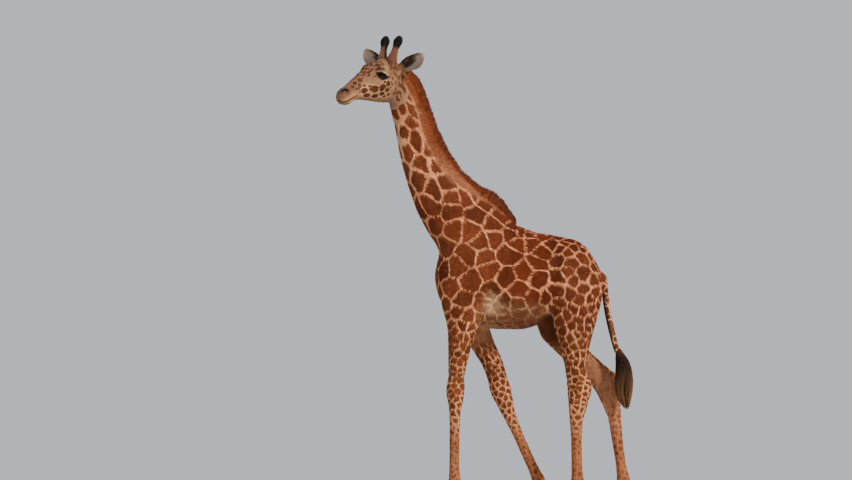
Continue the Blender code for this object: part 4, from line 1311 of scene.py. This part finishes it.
def add_hair_data(mesh, root_uv, colours, corners):
    """Root colours and the map of the bake for a mesh of like tufts."""
    tufts = len(root_uv)
    spread = np.tile(corners, (tufts, 1)).reshape(tufts, -1, 2) * UV_PATCH
    uv = np.clip(root_uv[:, None] + spread, 0, 1)
    layer = mesh.uv_layers.new(name="OFBake", do_init=False)
    layer.uv.foreach_set("vector", flat32(uv))
    if len(colours) == tufts:
        colours = np.repeat(colours, len(mesh.vertices) // tufts, axis=0)
    add_attribute(mesh, "Col", "FLOAT_COLOR", "POINT", colours)


def repeated(pattern, count, points):
    """The pattern's faces for each of the like tufts, which have so many points."""
    return (pattern[None] + points * np.arange(count)[:, None, None]).reshape(-1, 3)


def orthogonal(ways, normals):
    """Directions laid along the surface."""
    return unit(ways - normals * (ways * normals).sum(1)[:, None])


def dressed(name, mesh, look, slot, *nodes):
    """An object that rides on the body."""
    obj = new_object(name, mesh, [look])
    mesh.shade_smooth()
    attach(obj, "root")
    if nodes:
        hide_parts(*nodes)
    return obj


def blades(name, roots, ways, normals, length, width, lift, colours, uv, hair):
    """Short solid tufts, each a low ridged blade of four faces."""
    base = roots - normals * BLADE_SUNK
    way = ways * np.cos(lift)[:, None] + normals * np.sin(lift)[:, None]
    tip = roots + way * length[:, None]
    half = np.cross(normals, ways) * (width / 2)[:, None]
    rise = width * 0.22 + length * BLADE_RIDGE * np.sin(lift)
    ridge = roots + ways * (length * BLADE_RIDGE)[:, None] + normals * rise[:, None]
    points = np.stack([base - half, base + half, ridge, tip], 1).reshape(-1, 3)
    pattern = np.array([[0, 1, 3], [0, 3, 2], [1, 2, 3], [0, 2, 1]])
    mesh = mesh_from(name, points, repeated(pattern, len(roots), 4))
    corners = np.array([[-0.5, -0.5], [0.5, -0.5], [0.0, 0.5], [0.0, 0.0]])[pattern.ravel()]
    add_hair_data(mesh, uv, colours, corners)
    dressed(name, mesh, hair, "hide")


def locks(name, spines, thickness, colours, uv, hair, slot, *nodes):
    """Longer locks: solid tapered strands along their spines (lock, point, axis)."""
    count, steps, _ = spines.shape
    ways = unit(np.gradient(spines, axis=1))
    helper = np.where(np.abs(ways[:, :1, 1:2]) > 0.9, np.array([1.0, 0, 0]), SIDE_Y)
    first = unit(np.cross(ways, helper))
    second = np.cross(ways, first)
    t = np.linspace(0, 1, steps)
    radius = thickness[:, None] * np.clip(1.15 * (1 - t**1.6), 0.04, 1.0)[None]
    turn = 2 * np.pi * np.arange(LOCK_SIDES)[:, None] / LOCK_SIDES
    across = first[:, :, None] * np.cos(turn) + second[:, :, None] * np.sin(turn)
    points = (spines[:, :, None] + radius[:, :, None, None] * across).reshape(-1, 3)
    pattern = np.array(tube_faces(steps, LOCK_SIDES, capped=True))
    mesh = mesh_from(name, points, repeated(pattern, count, steps * LOCK_SIDES))
    ring_uv = np.hstack([np.cos(turn) * 0.4, np.sin(turn) * 0.4])
    corners = np.concatenate([ring_uv * (1 - 0.6 * s) for s in t])[pattern.ravel()]
    if colours.ndim == 2:
        colours = np.repeat(colours[:, None], steps, axis=1)
    colours = np.repeat(colours, LOCK_SIDES, axis=1).reshape(-1, 3)
    add_hair_data(mesh, uv, colours, corners)
    dressed(name, mesh, hair, slot, *nodes)


def bent(roots, heading, bend, steps):
    """Spines that leave their roots straight and bend on their way."""
    t = np.linspace(0, 1, steps)[None, :, None]
    return roots[:, None] + heading[:, None] * t + bend[:, None] * t**2


# ---------------------------------------------------------------- building

PIECE_TUFTS = 48000  # most tufts in one piece of the coat


def face_detail(points):
    """True on the muzzle and round the eyes, where the skin needs finer faces."""
    muzzle = (head_distance(points) < MUZZLE_REACH) & (head_coords(points)[0] > 0.12)
    eyes = [lengths(points - eye_frame(side)[0]) < 0.048 for side in SIGN]
    return muzzle | eyes[0] | eyes[1]


def build_skin():
    """The one skin over all flesh."""
    mesh = remeshed(joined_flesh())
    soften(mesh, amount("smoothing"))
    mesh = refined(thinned(mesh), face_detail)
    sculpt(mesh)
    open_eyes(mesh)
    mesh.shade_smooth()
    skin = mark_skin(mesh)
    dressed("skin", mesh, skin_material(), "hide", *FLESH)
    return mesh, skin


def mane_flow(points, flow):
    """The flow, turned up towards the mane's edge beside its foot."""
    beside, reach, start = mane_band(points)
    tips, feet = MANE_ROWS[::-1, 0:2], MANE_ROWS[::-1, 2:4]
    x, z = (np.interp(points[:, 2], feet[:, 1] + BASE[2], (tips - feet)[:, k]) for k in (0, 1))
    rise = unit(np.stack([x, np.zeros(len(points)), z], 1))
    share = (ease(reach + 0.004, reach - 0.014, beside) * start)[:, None]
    return flow * (1 - 0.72 * share) + rise * share


def bare(roots, slits):
    """True where no hair grows: round the eyes, in nostrils and mouth, and on the hooves."""
    found = (slits["nostril"] <= 0.0060) | (slits["mouth"] <= 0.0045) | (roots[:, 2] <= 0.052)
    for side in SIGN:
        a, b, c = eye_coords(roots, side)
        found |= (np.abs(a) < 0.0240) & (np.abs(b) < 0.0150) & (c > 0)
    return found


def build_coat(skin, unwrap, flow):
    """Short tufts over the whole skin, in pieces by part of the body."""
    hair = hair_material("coat", 0.65)
    faces = skin["faces"]
    corners = skin["points"][faces]
    area = lengths(np.cross(corners[:, 1] - corners[:, 0], corners[:, 2] - corners[:, 0])) / 2
    middle = corners.mean(1)
    density = np.where(head_distance(middle) < HEAD_REACH, 2.6,
                       np.where(middle[:, 2] < 0.85, 1.7, 1.0))
    weight = area * density
    wanted = amount("coat")
    face = RNG.choice(len(faces), wanted, p=weight / weight.sum())
    u, v = RNG.random((2, wanted))
    flip = u + v > 1
    u, v = np.where(flip, 1 - u, u), np.where(flip, 1 - v, v)
    weights = np.stack([1 - u - v, u, v], 1)
    roots, normals, lay = (weighed(values[faces[face]], weights)
                           for values in (skin["points"], skin["normals"], flow))
    normals = unit(normals)
    height = roots[:, 2]
    beside, reach, start = mane_band(roots)
    band = ease(reach, reach - 0.010, beside) * start
    tail = on_tail(roots)
    ways = orthogonal(lay + 0.22 * RNG.normal(size=lay.shape), normals)
    lay = orthogonal(lay, normals)
    # Teeth run into the patches along the hair.
    drawn = roots - 0.72 * lay * ((roots - BODY_MIDDLE) * lay).sum(1)[:, None]
    jag = 0.0056 * rough(drawn, 95.0, 40) * (0.35 + 0.65 * ease(0.75, 1.15, height))
    tints = colour_at(skin, face, weights, jag * (1 - tail))
    tints *= RNG.uniform(0.80, 1.20, wanted)[:, None]
    # Hair is long on the body, shorter on head and legs, and longer again over the hooves.
    body = 0.018 - 0.008 * ease(0.95, 0.70, height)
    body += 0.005 * ease(0.085, 0.065, height)
    face_hair = 0.0080 - 0.0045 * ease(0.05, 0.19, head_coords(roots)[0])
    far = head_distance(roots)
    length = np.where(far < HEAD_REACH, face_hair, body)
    length = length * (1 - 0.2 * in_ear(roots)) * (1 + 0.9 * band) * (1 - 0.5 * tail)
    length *= RNG.uniform(0.75, 1.25, wanted)
    width = (length * 0.145 + 0.0005) * (1 - 0.35 * band)
    lift = np.radians(RNG.uniform(6, 15, wanted))
    slits = {name: weighed(skin[name][:, None][faces[face]], weights)[:, 0] for name in SLITS}
    keep = ~bare(roots, slits)
    part = np.select(
        [far < HEAD_REACH, height > 1.62, height < 0.60,
         (height < 1.02) & (roots[:, 0] < BASE[0] + 0.2), height < 1.02, roots[:, 1] < MIDLINE_Y],
        ["head", "neck", "shanks", "forelegs", "hindlegs", "left"], "right")
    data = (roots, ways, normals, length, width, lift, tints, unwrap.at(roots))
    for name in np.unique(part):
        mine = np.nonzero(keep & (part == name))[0]
        for index, chunk in enumerate(np.array_split(mine, len(mine) // PIECE_TUFTS + 1)):
            blades(f"coat_{name}_{index}", *(values[chunk] for values in data), hair)


def row_points(rows, t):
    """The rows' columns at t, 0 to 1 along them, straight from row to row."""
    rows = np.asarray(rows, float)
    at = np.linspace(0, 1, len(rows))
    return np.stack([np.interp(t, at, rows[:, k]) for k in range(rows.shape[1])], -1)


def mane_place(t, level, out):
    """Places at a level over the mane's foot, out sideways by a share of its half width."""
    row = row_points(MANE_ROWS, t)
    half = row[..., 5] * np.sqrt(np.clip(1 - np.clip(level, 0, 1) ** 2.2, 0.02, 1))
    xz = row[..., 2:4] + (row[..., 0:2] - row[..., 2:4]) * level[..., None]
    return place(np.concatenate([xz, (row[..., 4] + half * out)[..., None]], -1))


def build_mane_core():
    """A tapered wall along the neck under the mane's locks, its foot sunk into the skin."""
    stations, ring = np.linspace(0.01, 0.99, 110), np.linspace(-0.35, 0.76, 8)
    sides = np.repeat([0.80, -0.80], len(ring))
    t, level = np.meshgrid(stations, np.concatenate([ring, ring[::-1]]), indexing="ij")
    lump = np.array([noise.noise(Vector((at * 60, rise * 2, 1.7)))
                     for at, rise in zip(t.ravel(), level.ravel())])
    level = level + 0.06 * lump.reshape(t.shape) * (level > 0.4)
    level = level - 0.45 * np.maximum(level, 0) * ease(0.95, 1.0, t)
    grid = mane_place(t, level, sides[None] + 0 * t).reshape(-1, 3)
    core = mesh_from("mane_core", grid, tube_faces(*t.shape, capped=True))
    tidy(core)
    look = grained_material("mane_core", MANE_CORE, 0.95, 240.0)
    dressed("mane_core", core, look, "mane_hair", "mane")


def build_mane(unwrap):
    """A close crest of locks in clumps whose tips draw together; some fringe its edge."""
    build_mane_core()
    count, clumps = amount("mane"), 190
    hair = hair_material("mane", 0.6)
    clump = RNG.integers(0, clumps, count)
    middle = (clump + RNG.uniform(0.3, 0.7, clumps)[clump]) / clumps
    tone, reach, sway = (RNG.normal(size=clumps)[clump] for _ in range(3))
    t = np.clip(middle + RNG.normal(size=count) * 0.6 / clumps, 0, 1)
    side = np.where(RNG.random(count) < 0.5, 1.0, -1.0)
    fringe = RNG.random(count) < 0.58
    # A small dark tuft begins it between the ears.
    crown = RNG.random(count) < 0.014
    t, fringe = np.where(crown, RNG.uniform(0.0, 0.030, count), t), fringe | crown
    middle = np.where(crown, 0.012, middle)
    low = np.where(fringe, RNG.uniform(0.35, 0.75, count), RNG.uniform(-0.20, 0.5, count))
    high = np.where(fringe, 1.01 + 0.020 * reach + 0.030 * RNG.normal(size=count),
                    low + RNG.uniform(0.35, 0.5, count))
    high = np.minimum(high, 1.08) * (1 - 0.35 * ease(0.965, 1.0, t))
    low = np.minimum(low, high - 0.25)
    share = np.linspace(0, 1, 5)[None]
    level = low[:, None] + (high - low)[:, None] * share
    out = side * np.where(fringe, RNG.uniform(0.0, 1.0, count), RNG.uniform(0.90, 1.08, count))
    drawn = t[:, None] + (middle - t)[:, None] * 0.45 * share**2
    spines = mane_place(drawn, level, out[:, None] + 0 * level)
    # The tips are swept along the mane's edge.
    edge = place(MANE_ROWS[:, [0, 1, 4]])
    slope = unit(np.gradient(row_points(edge, np.linspace(0, 1, 200)), axis=0)[np.int32(t * 199)])
    sweep = 0.005 + 0.004 * sway + 0.002 * RNG.normal(size=count)
    spines += slope[:, None] * (sweep[:, None] * share**1.4)[..., None]
    shade = RNG.uniform(0.80, 1.20, count) * np.clip(1 + 0.18 * tone, 0.6, 1.5)
    shade *= 1 - 0.28 * ease(0.74, 0.84, t) - 0.85 * ease(0.045, 0.02, t)
    colours = fade(MANE_ROOT, MANE_TIP, ease(0.15, 0.95, np.clip(level, 0, 1)))
    colours = colours * shade[:, None, None]
    thickness = RNG.uniform(0.0011, 0.0021, count)
    uv = unwrap.at(spines[:, 0])
    for index, part in enumerate(np.array_split(np.arange(count), amount("mane pieces"))):
        locks(f"mane_locks_{index}", spines[part], thickness[part], colours[part], uv[part], hair,
              "mane_hair")


def ringed(angle, reach):
    """Places at an angle and a distance from the middle of a disc."""
    return np.stack([reach * np.cos(angle), reach * np.sin(angle)], 1)


def build_tail_tuft(unwrap):
    """Long black-brown locks that hang from the tail's end."""
    count, strands = amount("tail tuft"), 34
    hair = hair_material("tail_hair", 0.7)
    strand = RNG.integers(0, strands, count)
    angle, reach = RNG.uniform(0, 2 * np.pi, strands), np.sqrt(RNG.uniform(0.02, 1.0, strands))
    ends = np.clip(RNG.normal(0.82, 0.13, strands), 0.55, 1.0)
    start = np.where(RNG.random(count) < 0.6, RNG.uniform(0.0, 0.06, count),
                     RNG.uniform(0.06, 0.30, count))
    stop = np.clip(ends[strand] + 0.05 * RNG.normal(size=count), start + 0.2, 1.0)
    t = start[:, None] + (stop - start)[:, None] * np.linspace(0, 1, 7)[None]
    row = row_points(TUFT_ROWS, t)
    front, rear, width = row[..., 0:2], row[..., 2:4], row[..., 4]
    middle, half = (front + rear) / 2, (rear - front) / 2
    # Every lock leaves the common root for its strand, and the strands part towards their ends.
    own = ringed(RNG.uniform(0, 2 * np.pi, count), np.sqrt(RNG.random(count)) * 0.95)
    pull = ringed(angle, reach)[strand]
    gather = ease(0.05, 0.60, t)[..., None] * 0.82
    phase, speed = RNG.uniform(0, 6, strands)[strand], RNG.uniform(2, 6, strands)[strand]
    own_speed, own_phase = RNG.uniform(4, 10, count), RNG.uniform(0, 6, count)
    waver = 0.24 * np.sin(t * speed[:, None] + phase[:, None]) * t
    waver += 0.11 * np.sin(t * own_speed[:, None] + own_phase[:, None]) * t
    spread = own[:, None] * (1 - gather) + pull[:, None] * gather + waver[..., None]
    far = np.maximum(lengths(spread), 1e-6)[..., None]
    spread *= np.tanh(far) / far / math.tanh(1.0) * 0.92
    xz = middle + half * spread[..., :1]
    spines = place(np.concatenate([xz, (width * spread[..., 1])[..., None]], -1))
    tone = RNG.uniform(0.7, 1.4, count) * RNG.uniform(0.7, 1.4, strands)[strand]
    brown = ease(0.25, 0.80, t) * RNG.uniform(0.40, 1.15, strands)[strand][:, None]
    root = ease(0.15, 0.07, t + 0.025 * RNG.normal(size=count)[:, None])
    colours = fade(fade(TUFT_BLACK, TUFT_BROWN, brown) * tone[:, None, None], TAIL_PATCH, root)
    thickness = RNG.uniform(0.0007, 0.0015, count)
    locks("tail_tuft_locks", spines, thickness, colours, unwrap.at(spines[:, 0]), hair,
          "tail_hair", "tail_tuft")


def crown_colours(skin):
    """Gives the skin's colour at its vertex nearest to each point of the head."""
    near = np.flatnonzero(head_distance(skin["points"]) < 0.18)
    tree = point_tree(skin["points"][near])

    def colours(points):
        index = near[[tree.find(point)[1] for point in points]]
        spotted = ease(-0.001, 0.001, skin["marks"][index, 2])
        return blend(skin["line"][index], skin["patch"][index], spotted)

    return colours


def horn_colours(below, points, share):
    """The skin's own colour at the foot, tan hair on the shaft, black on the brush."""
    tint = blend(below(points), OSSICONE_RUST, ease(0.04, 0.28, share))
    marked = ease(-0.05, 0.15, brow_marks(points) - 1.2 * ease(0.15, 0.42, share))
    tint = blend(tint, TEMPLE_RUST, marked * ease(0.04, 0.16, share) * 0.8)
    return blend(tint, BRUSH_BLACK, ease(0.56, 0.66, share))


def build_ossicones(skin, unwrap):
    """Two haired horns, each with a black brush."""
    below = crown_colours(skin)
    hair = hair_material("ossicone_hair", 0.65)
    look = grained_material("ossicone_skin", None, 0.8, 350.0)
    profile_share, profile_radius = zip(*OSSICONE_PROFILE)
    back, out = OSSICONE_LEAN
    around, levels = 48, 60
    for side, sign in SIGN.items():
        foot = mirrored(OSSICONE_ROOT, sign)
        way = -back * FORWARD + sign * out * LEFT + math.sqrt(1 - back**2 - out**2) * UP
        first = unit(np.cross(way, FORWARD))
        second = np.cross(way, first)

        def surface(share, turn, inset):
            """Places under the horn's surface, and the directions out of it there."""
            radius = np.interp(share, profile_share, profile_radius) - inset
            outward = first * np.cos(turn)[:, None] + second * np.sin(turn)[:, None]
            axis = foot + way * (share * OSSICONE_LENGTH)[:, None]
            return axis + radius[:, None] * outward, outward

        shares = np.repeat(np.linspace(-0.10, 0.93, levels), around)
        turns = np.tile(2 * np.pi * np.arange(around) / around, levels)
        grid = surface(shares, turns, 0.0035)[0]
        grid = np.concatenate([grid, grid[-around:].mean(0)[None], grid[:around].mean(0)[None]])
        top, low, last = len(grid) - 2, len(grid) - 1, (levels - 1) * around
        faces = tube_faces(levels, around)
        for k in range(around):
            after = (k + 1) % around
            faces += [(last + k, last + after, top), (after, k, low)]
        horn = mesh_from(f"ossicone_{side}_horn", grid, faces)
        tint = horn_colours(below, grid, np.append(shares, (1.0, 0.0)))
        add_attribute(horn, "Col", "FLOAT_COLOR", "POINT", tint)
        dressed(f"ossicone_{side}_horn", horn, look, "ossicone", f"ossicone_{side}")
        # The hair: short on the shaft, longer on the brush, which closes to a swept-back point.
        count = amount("ossicone")
        share = RNG.uniform(-0.07, 0.92, count)
        root, outward = surface(share, RNG.uniform(0, 2 * np.pi, count), 0.0040)
        brush = ease(0.58, 0.68, share + 0.025 * RNG.normal(size=count))
        crown = ease(0.80, 0.95, share)
        length = (0.010 + 0.011 * brush - 0.003 * crown)[:, None]
        heading = way * (0.95 - 0.05 * brush)[:, None]
        heading = heading + outward * (0.14 + 0.14 * brush * (1 - crown))[:, None]
        heading = unit(heading + 0.10 * RNG.normal(size=heading.shape))
        closing = -(outward + 0.5 * FORWARD) * (0.50 * length * brush[:, None])
        spines = bent(root, heading * length, closing, 4)
        tint = horn_colours(below, root, share + 0.025 * RNG.normal(size=count))
        tint = tint * RNG.uniform(0.65, 1.35, count)[:, None]
        locks(f"ossicone_{side}_hair", spines, 0.0011 + 0.0008 * brush, tint, unwrap.at(root), hair,
              "ossicone")


def lid_ring(side):
    """The opening's edge on the eyeball: places, outward directions, and ways off the opening."""
    centre, out, along, rise = eye_frame(side)
    turn = np.linspace(0, 2 * np.pi, 73)[:-1]
    a = np.cos(turn)
    b = np.where(np.sin(turn) >= 0, *lid_edge(a))
    height = np.sqrt(EYE_RADIUS**2 - (a * LID_LENGTH) ** 2 - b**2)
    curve = centre + along * (a * LID_LENGTH)[:, None] + rise * b[:, None] + out * height[:, None]
    up = unit(curve - centre)
    away = np.cross(unit(np.roll(curve, -1, 0) - np.roll(curve, 1, 0)), up)
    away *= np.sign((away * (curve - centre - out * EYE_RADIUS)).sum(1))[:, None]
    return curve, up, away, a


def build_eyeball(side, look):
    """A ball with a clear lens before it, and the places on its iris."""
    centre, out, along, rise = eye_frame(side)
    rings, turns = 29, 48
    polar = np.repeat(np.pi * np.arange(rings) / (rings - 1), turns)[:, None]
    turn = np.tile(2 * np.pi * np.arange(turns) / turns, rings)[:, None]
    lens = 0.0012 * np.maximum(0.0, np.cos(np.minimum(polar * 1.6, np.pi / 2)))
    across, up = np.sin(polar) * np.cos(turn), np.sin(polar) * np.sin(turn)
    way = out * np.cos(polar) + along * across + rise * up
    points = centre + way * (EYE_RADIUS - 0.0004 + lens)
    iris = np.where(polar < np.pi / 2, np.hstack([across * 0.75, up, 0 * up]), (1, 0, 0))
    ball = mesh_from(f"eyeball_{side}", points, tube_faces(rings, turns))
    add_attribute(ball, "iris", "FLOAT_VECTOR", "POINT", iris)
    tidy(ball)
    dressed(f"eyeball_{side}", ball, look, "eye", f"eye_{side}")


def build_eyes():
    """Wet eyeballs with cornea, dark rims and lashes."""
    look = eye_material()
    rim_look = grained_material("eyelid", EYELID, 0.8, 500.0)
    lash_hair = hair_material("lash", 0.5)
    for side in SIGN:
        build_eyeball(side, look)
        _, out, along, rise = eye_frame(side)
        # The lids' dark edge: a thick rim on the ball round the opening, wider at its corners.
        curve, up, away, a = lid_ring(side)
        wide = 0.65 + 0.75 * a**2
        rim = np.stack([curve + away * (w * wide)[:, None] + up * h for w, h in LID_SECTION], 1)
        faces = tube_faces(*rim.shape[:2], looped=True)
        mesh = mesh_from(f"eyelid_{side}", rim.reshape(-1, 3), faces)
        tidy(mesh)
        dressed(f"eyelid_{side}", mesh, rim_look, "eye")
        # Lashes fan out from the upper lid, thickest in front, and sparser ones from the lower.
        count = 190
        upper_lid = np.arange(count) < 140
        pick = np.where(upper_lid, RNG.integers(2, 35, count), RNG.integers(38, 70, count))
        root = curve[pick] + up[pick] * 0.0022
        root = root + away[pick] * RNG.uniform(0.0, 0.003, count)[:, None]
        size = np.where(upper_lid, RNG.uniform(0.018, 0.027, count),
                        RNG.uniform(0.006, 0.011, count))
        lift = np.where(upper_lid, 0.10, -0.55)
        heading = (out * 0.75 + along * (0.55 * a[pick] + 0.45)[:, None] + rise * lift[:, None]
                   + 0.08 * RNG.normal(size=(count, 3)))
        bend = np.where(upper_lid, -0.30, 0.10)[:, None] * rise + 0.20 * along
        spines = bent(root, heading * size[:, None], bend * size[:, None], 5)
        uv = RNG.uniform(0.1, 0.9, (count, 2))
        locks(f"lashes_{side}", spines, np.full(count, 0.0006), np.full((count, 3), 0.008), uv,
              lash_hair, "eye")


def tidy(mesh):
    """Merges doubled points and turns all faces outwards."""
    shape = opened(mesh)
    bmesh.ops.remove_doubles(shape, verts=shape.verts, dist=1e-6)
    bmesh.ops.recalc_face_normals(shape, faces=shape.faces)
    closed(shape, mesh)


def build_ear_hair(unwrap):
    """Pale long hairs along the rims of the ears and across their hollows."""
    hair = hair_material("ear_hair", 0.6)
    stations, halves, middles = zip(*EAR_STATIONS)
    for side in SIGN:
        root, along, across, upright = ear_frame(side)
        count = amount("ear")
        share = RNG.uniform(0.20, 0.95, count)
        edge = np.where(RNG.random(count) < 0.4, 1.0, -1.0)
        level = np.interp(share, stations, middles)
        level += edge * (np.interp(share, stations, halves) - RNG.uniform(0.002, 0.012, count))
        roots = (root + along * (share * EAR_LENGTH)[:, None] + upright * level[:, None]
                 + across * RNG.uniform(-0.006, 0.002, count)[:, None])
        heading = (along * RNG.uniform(0.5, 0.9, count)[:, None]
                   + across * RNG.uniform(0.0, 0.30, count)[:, None]
                   - upright * (edge * RNG.uniform(-0.18, 0.5, count))[:, None]
                   + 0.08 * RNG.normal(size=(count, 3)))
        size = RNG.uniform(0.008, 0.016, count) * np.interp(share, [0.2, 0.95], [1.15, 0.45])
        size = size[:, None]
        spines = bent(roots, unit(heading) * size, along * (0.25 * size), 4)
        dusk = (edge > 0) * ease(0.90, 0.60, share + 0.06 * RNG.normal(size=count))
        colours = fade(EAR_PALE, EAR_RIM, dusk) * RNG.uniform(0.6, 1.15, count)[:, None]
        thickness = RNG.uniform(0.0005, 0.0009, count)
        locks(f"ear_{side}_hair", spines, thickness, colours, unwrap.at(roots), hair, "hide")


def claw_ring(low, high, claw, height, reach, wide):
    """One level of a claw: a half oval, flat towards the cleft, narrow at the toe."""
    middle, length, breadth = (low[1] + high[1]) / 2, high[0] - low[0], high[1] - low[1]
    ring = []
    for k in range(CLAW_SIDES):
        turn = 2 * math.pi * k / CLAW_SIDES
        x, y = -math.cos(turn), math.sin(turn)
        inner = 0.30 if y < 0 else 1.0
        narrow = 1 - 0.20 * max(0.0, -x)
        x *= 1 - 0.24 * height / CLAW_TOP * (x > 0)
        across = (0.25 + 0.75 * y * inner * narrow) * 0.5 * wide
        ring.append((low[0] + length * (0.5 + 0.5 * x * reach) + 0.20 * height,
                     middle + claw * (0.0025 + breadth * 0.5 * (0.22 + across * 1.05)),
                     min(height, high[2] + 0.008)))
    return ring


def build_hooves():
    """Two claws to a foot, each flat below, with a round toe and a sloped wall."""
    look = hoof_material()
    for name in (f"{pair}hoof_{side}" for pair, side in FEET):
        low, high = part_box(name)
        whole = bmesh.new()
        for claw in (-1, 1):
            rings = [[whole.verts.new(p) for p in claw_ring(low, high, claw, *level)]
                     for level in CLAW_LEVELS]
            for first, second in zip(rings, rings[1:]):
                for k in range(CLAW_SIDES):
                    after = (k + 1) % CLAW_SIDES
                    whole.faces.new((first[k], first[after], second[after], second[k]))
            whole.faces.new(rings[0])
            whole.faces.new(rings[-1])
        bmesh.ops.recalc_face_normals(whole, faces=whole.faces)
        mesh = closed(whole, bpy.data.meshes.new(f"{name}_claws"))
        dressed(f"{name}_claws", mesh, look, "hoof", name)
        mesh.set_sharp_from_angle(angle=math.radians(40))
        mesh.update()


CAMERA_AWAY = 50.0
PICTURE_WIDTH = 4.686  # metres that the picture shows at the giraffe


def build_stage():
    """Floor, light and camera."""
    world = bpy.data.worlds.new("studio")
    bpy.context.scene.world = world
    world.use_nodes = True
    backdrop = world.node_tree.nodes["Background"]
    backdrop.inputs["Color"].default_value = (0.80, 0.84, 0.90, 1)
    backdrop.inputs["Strength"].default_value = 0.75
    floor = bmesh.new()
    bmesh.ops.create_circle(floor, cap_ends=True, segments=96, radius=6.0)
    mesh = closed(floor, bpy.data.meshes.new("floor"))
    made, tree, shader = material("floor", 0.9)
    colour = mixed(tree, "MIX", speckle(tree, 3.0, 4.0), (0.70, 0.69, 0.67), (0.76, 0.75, 0.73))
    tree.links.new(colour, shader.inputs["Base Color"])
    new_object("floor", mesh, [made])
    sun = bpy.data.lights.new("key", "SUN")
    sun.energy = 3.4
    sun.angle = math.radians(7)
    sun.color = (1.0, 0.93, 0.82)
    key = new_object("key", sun)
    key.rotation_euler = Vector((-0.62, 0.70, -0.52)).to_track_quat("-Z", "Y").to_euler()
    camera = bpy.data.cameras.new("camera")
    camera.sensor_width = 36.0
    camera.lens = camera.sensor_width * CAMERA_AWAY / PICTURE_WIDTH
    camera.clip_end = 200.0
    holder = new_object("camera", camera)
    holder.location = (BASE[0] - 0.517, BASE[1] - CAMERA_AWAY, 1.507)
    holder.rotation_euler = (math.radians(90), 0, 0)
    bpy.context.scene.camera = holder


def main():
    """Builds everything."""
    mesh, skin = build_skin()
    unwrap = Unwrap(mesh)
    build_coat(skin, unwrap, mane_flow(skin["points"], flow_at(skin["points"])))
    build_mane(unwrap)
    build_tail_tuft(unwrap)
    build_ossicones(skin, unwrap)
    build_ear_hair(unwrap)
    build_eyes()
    build_hooves()
    build_stage()


main()
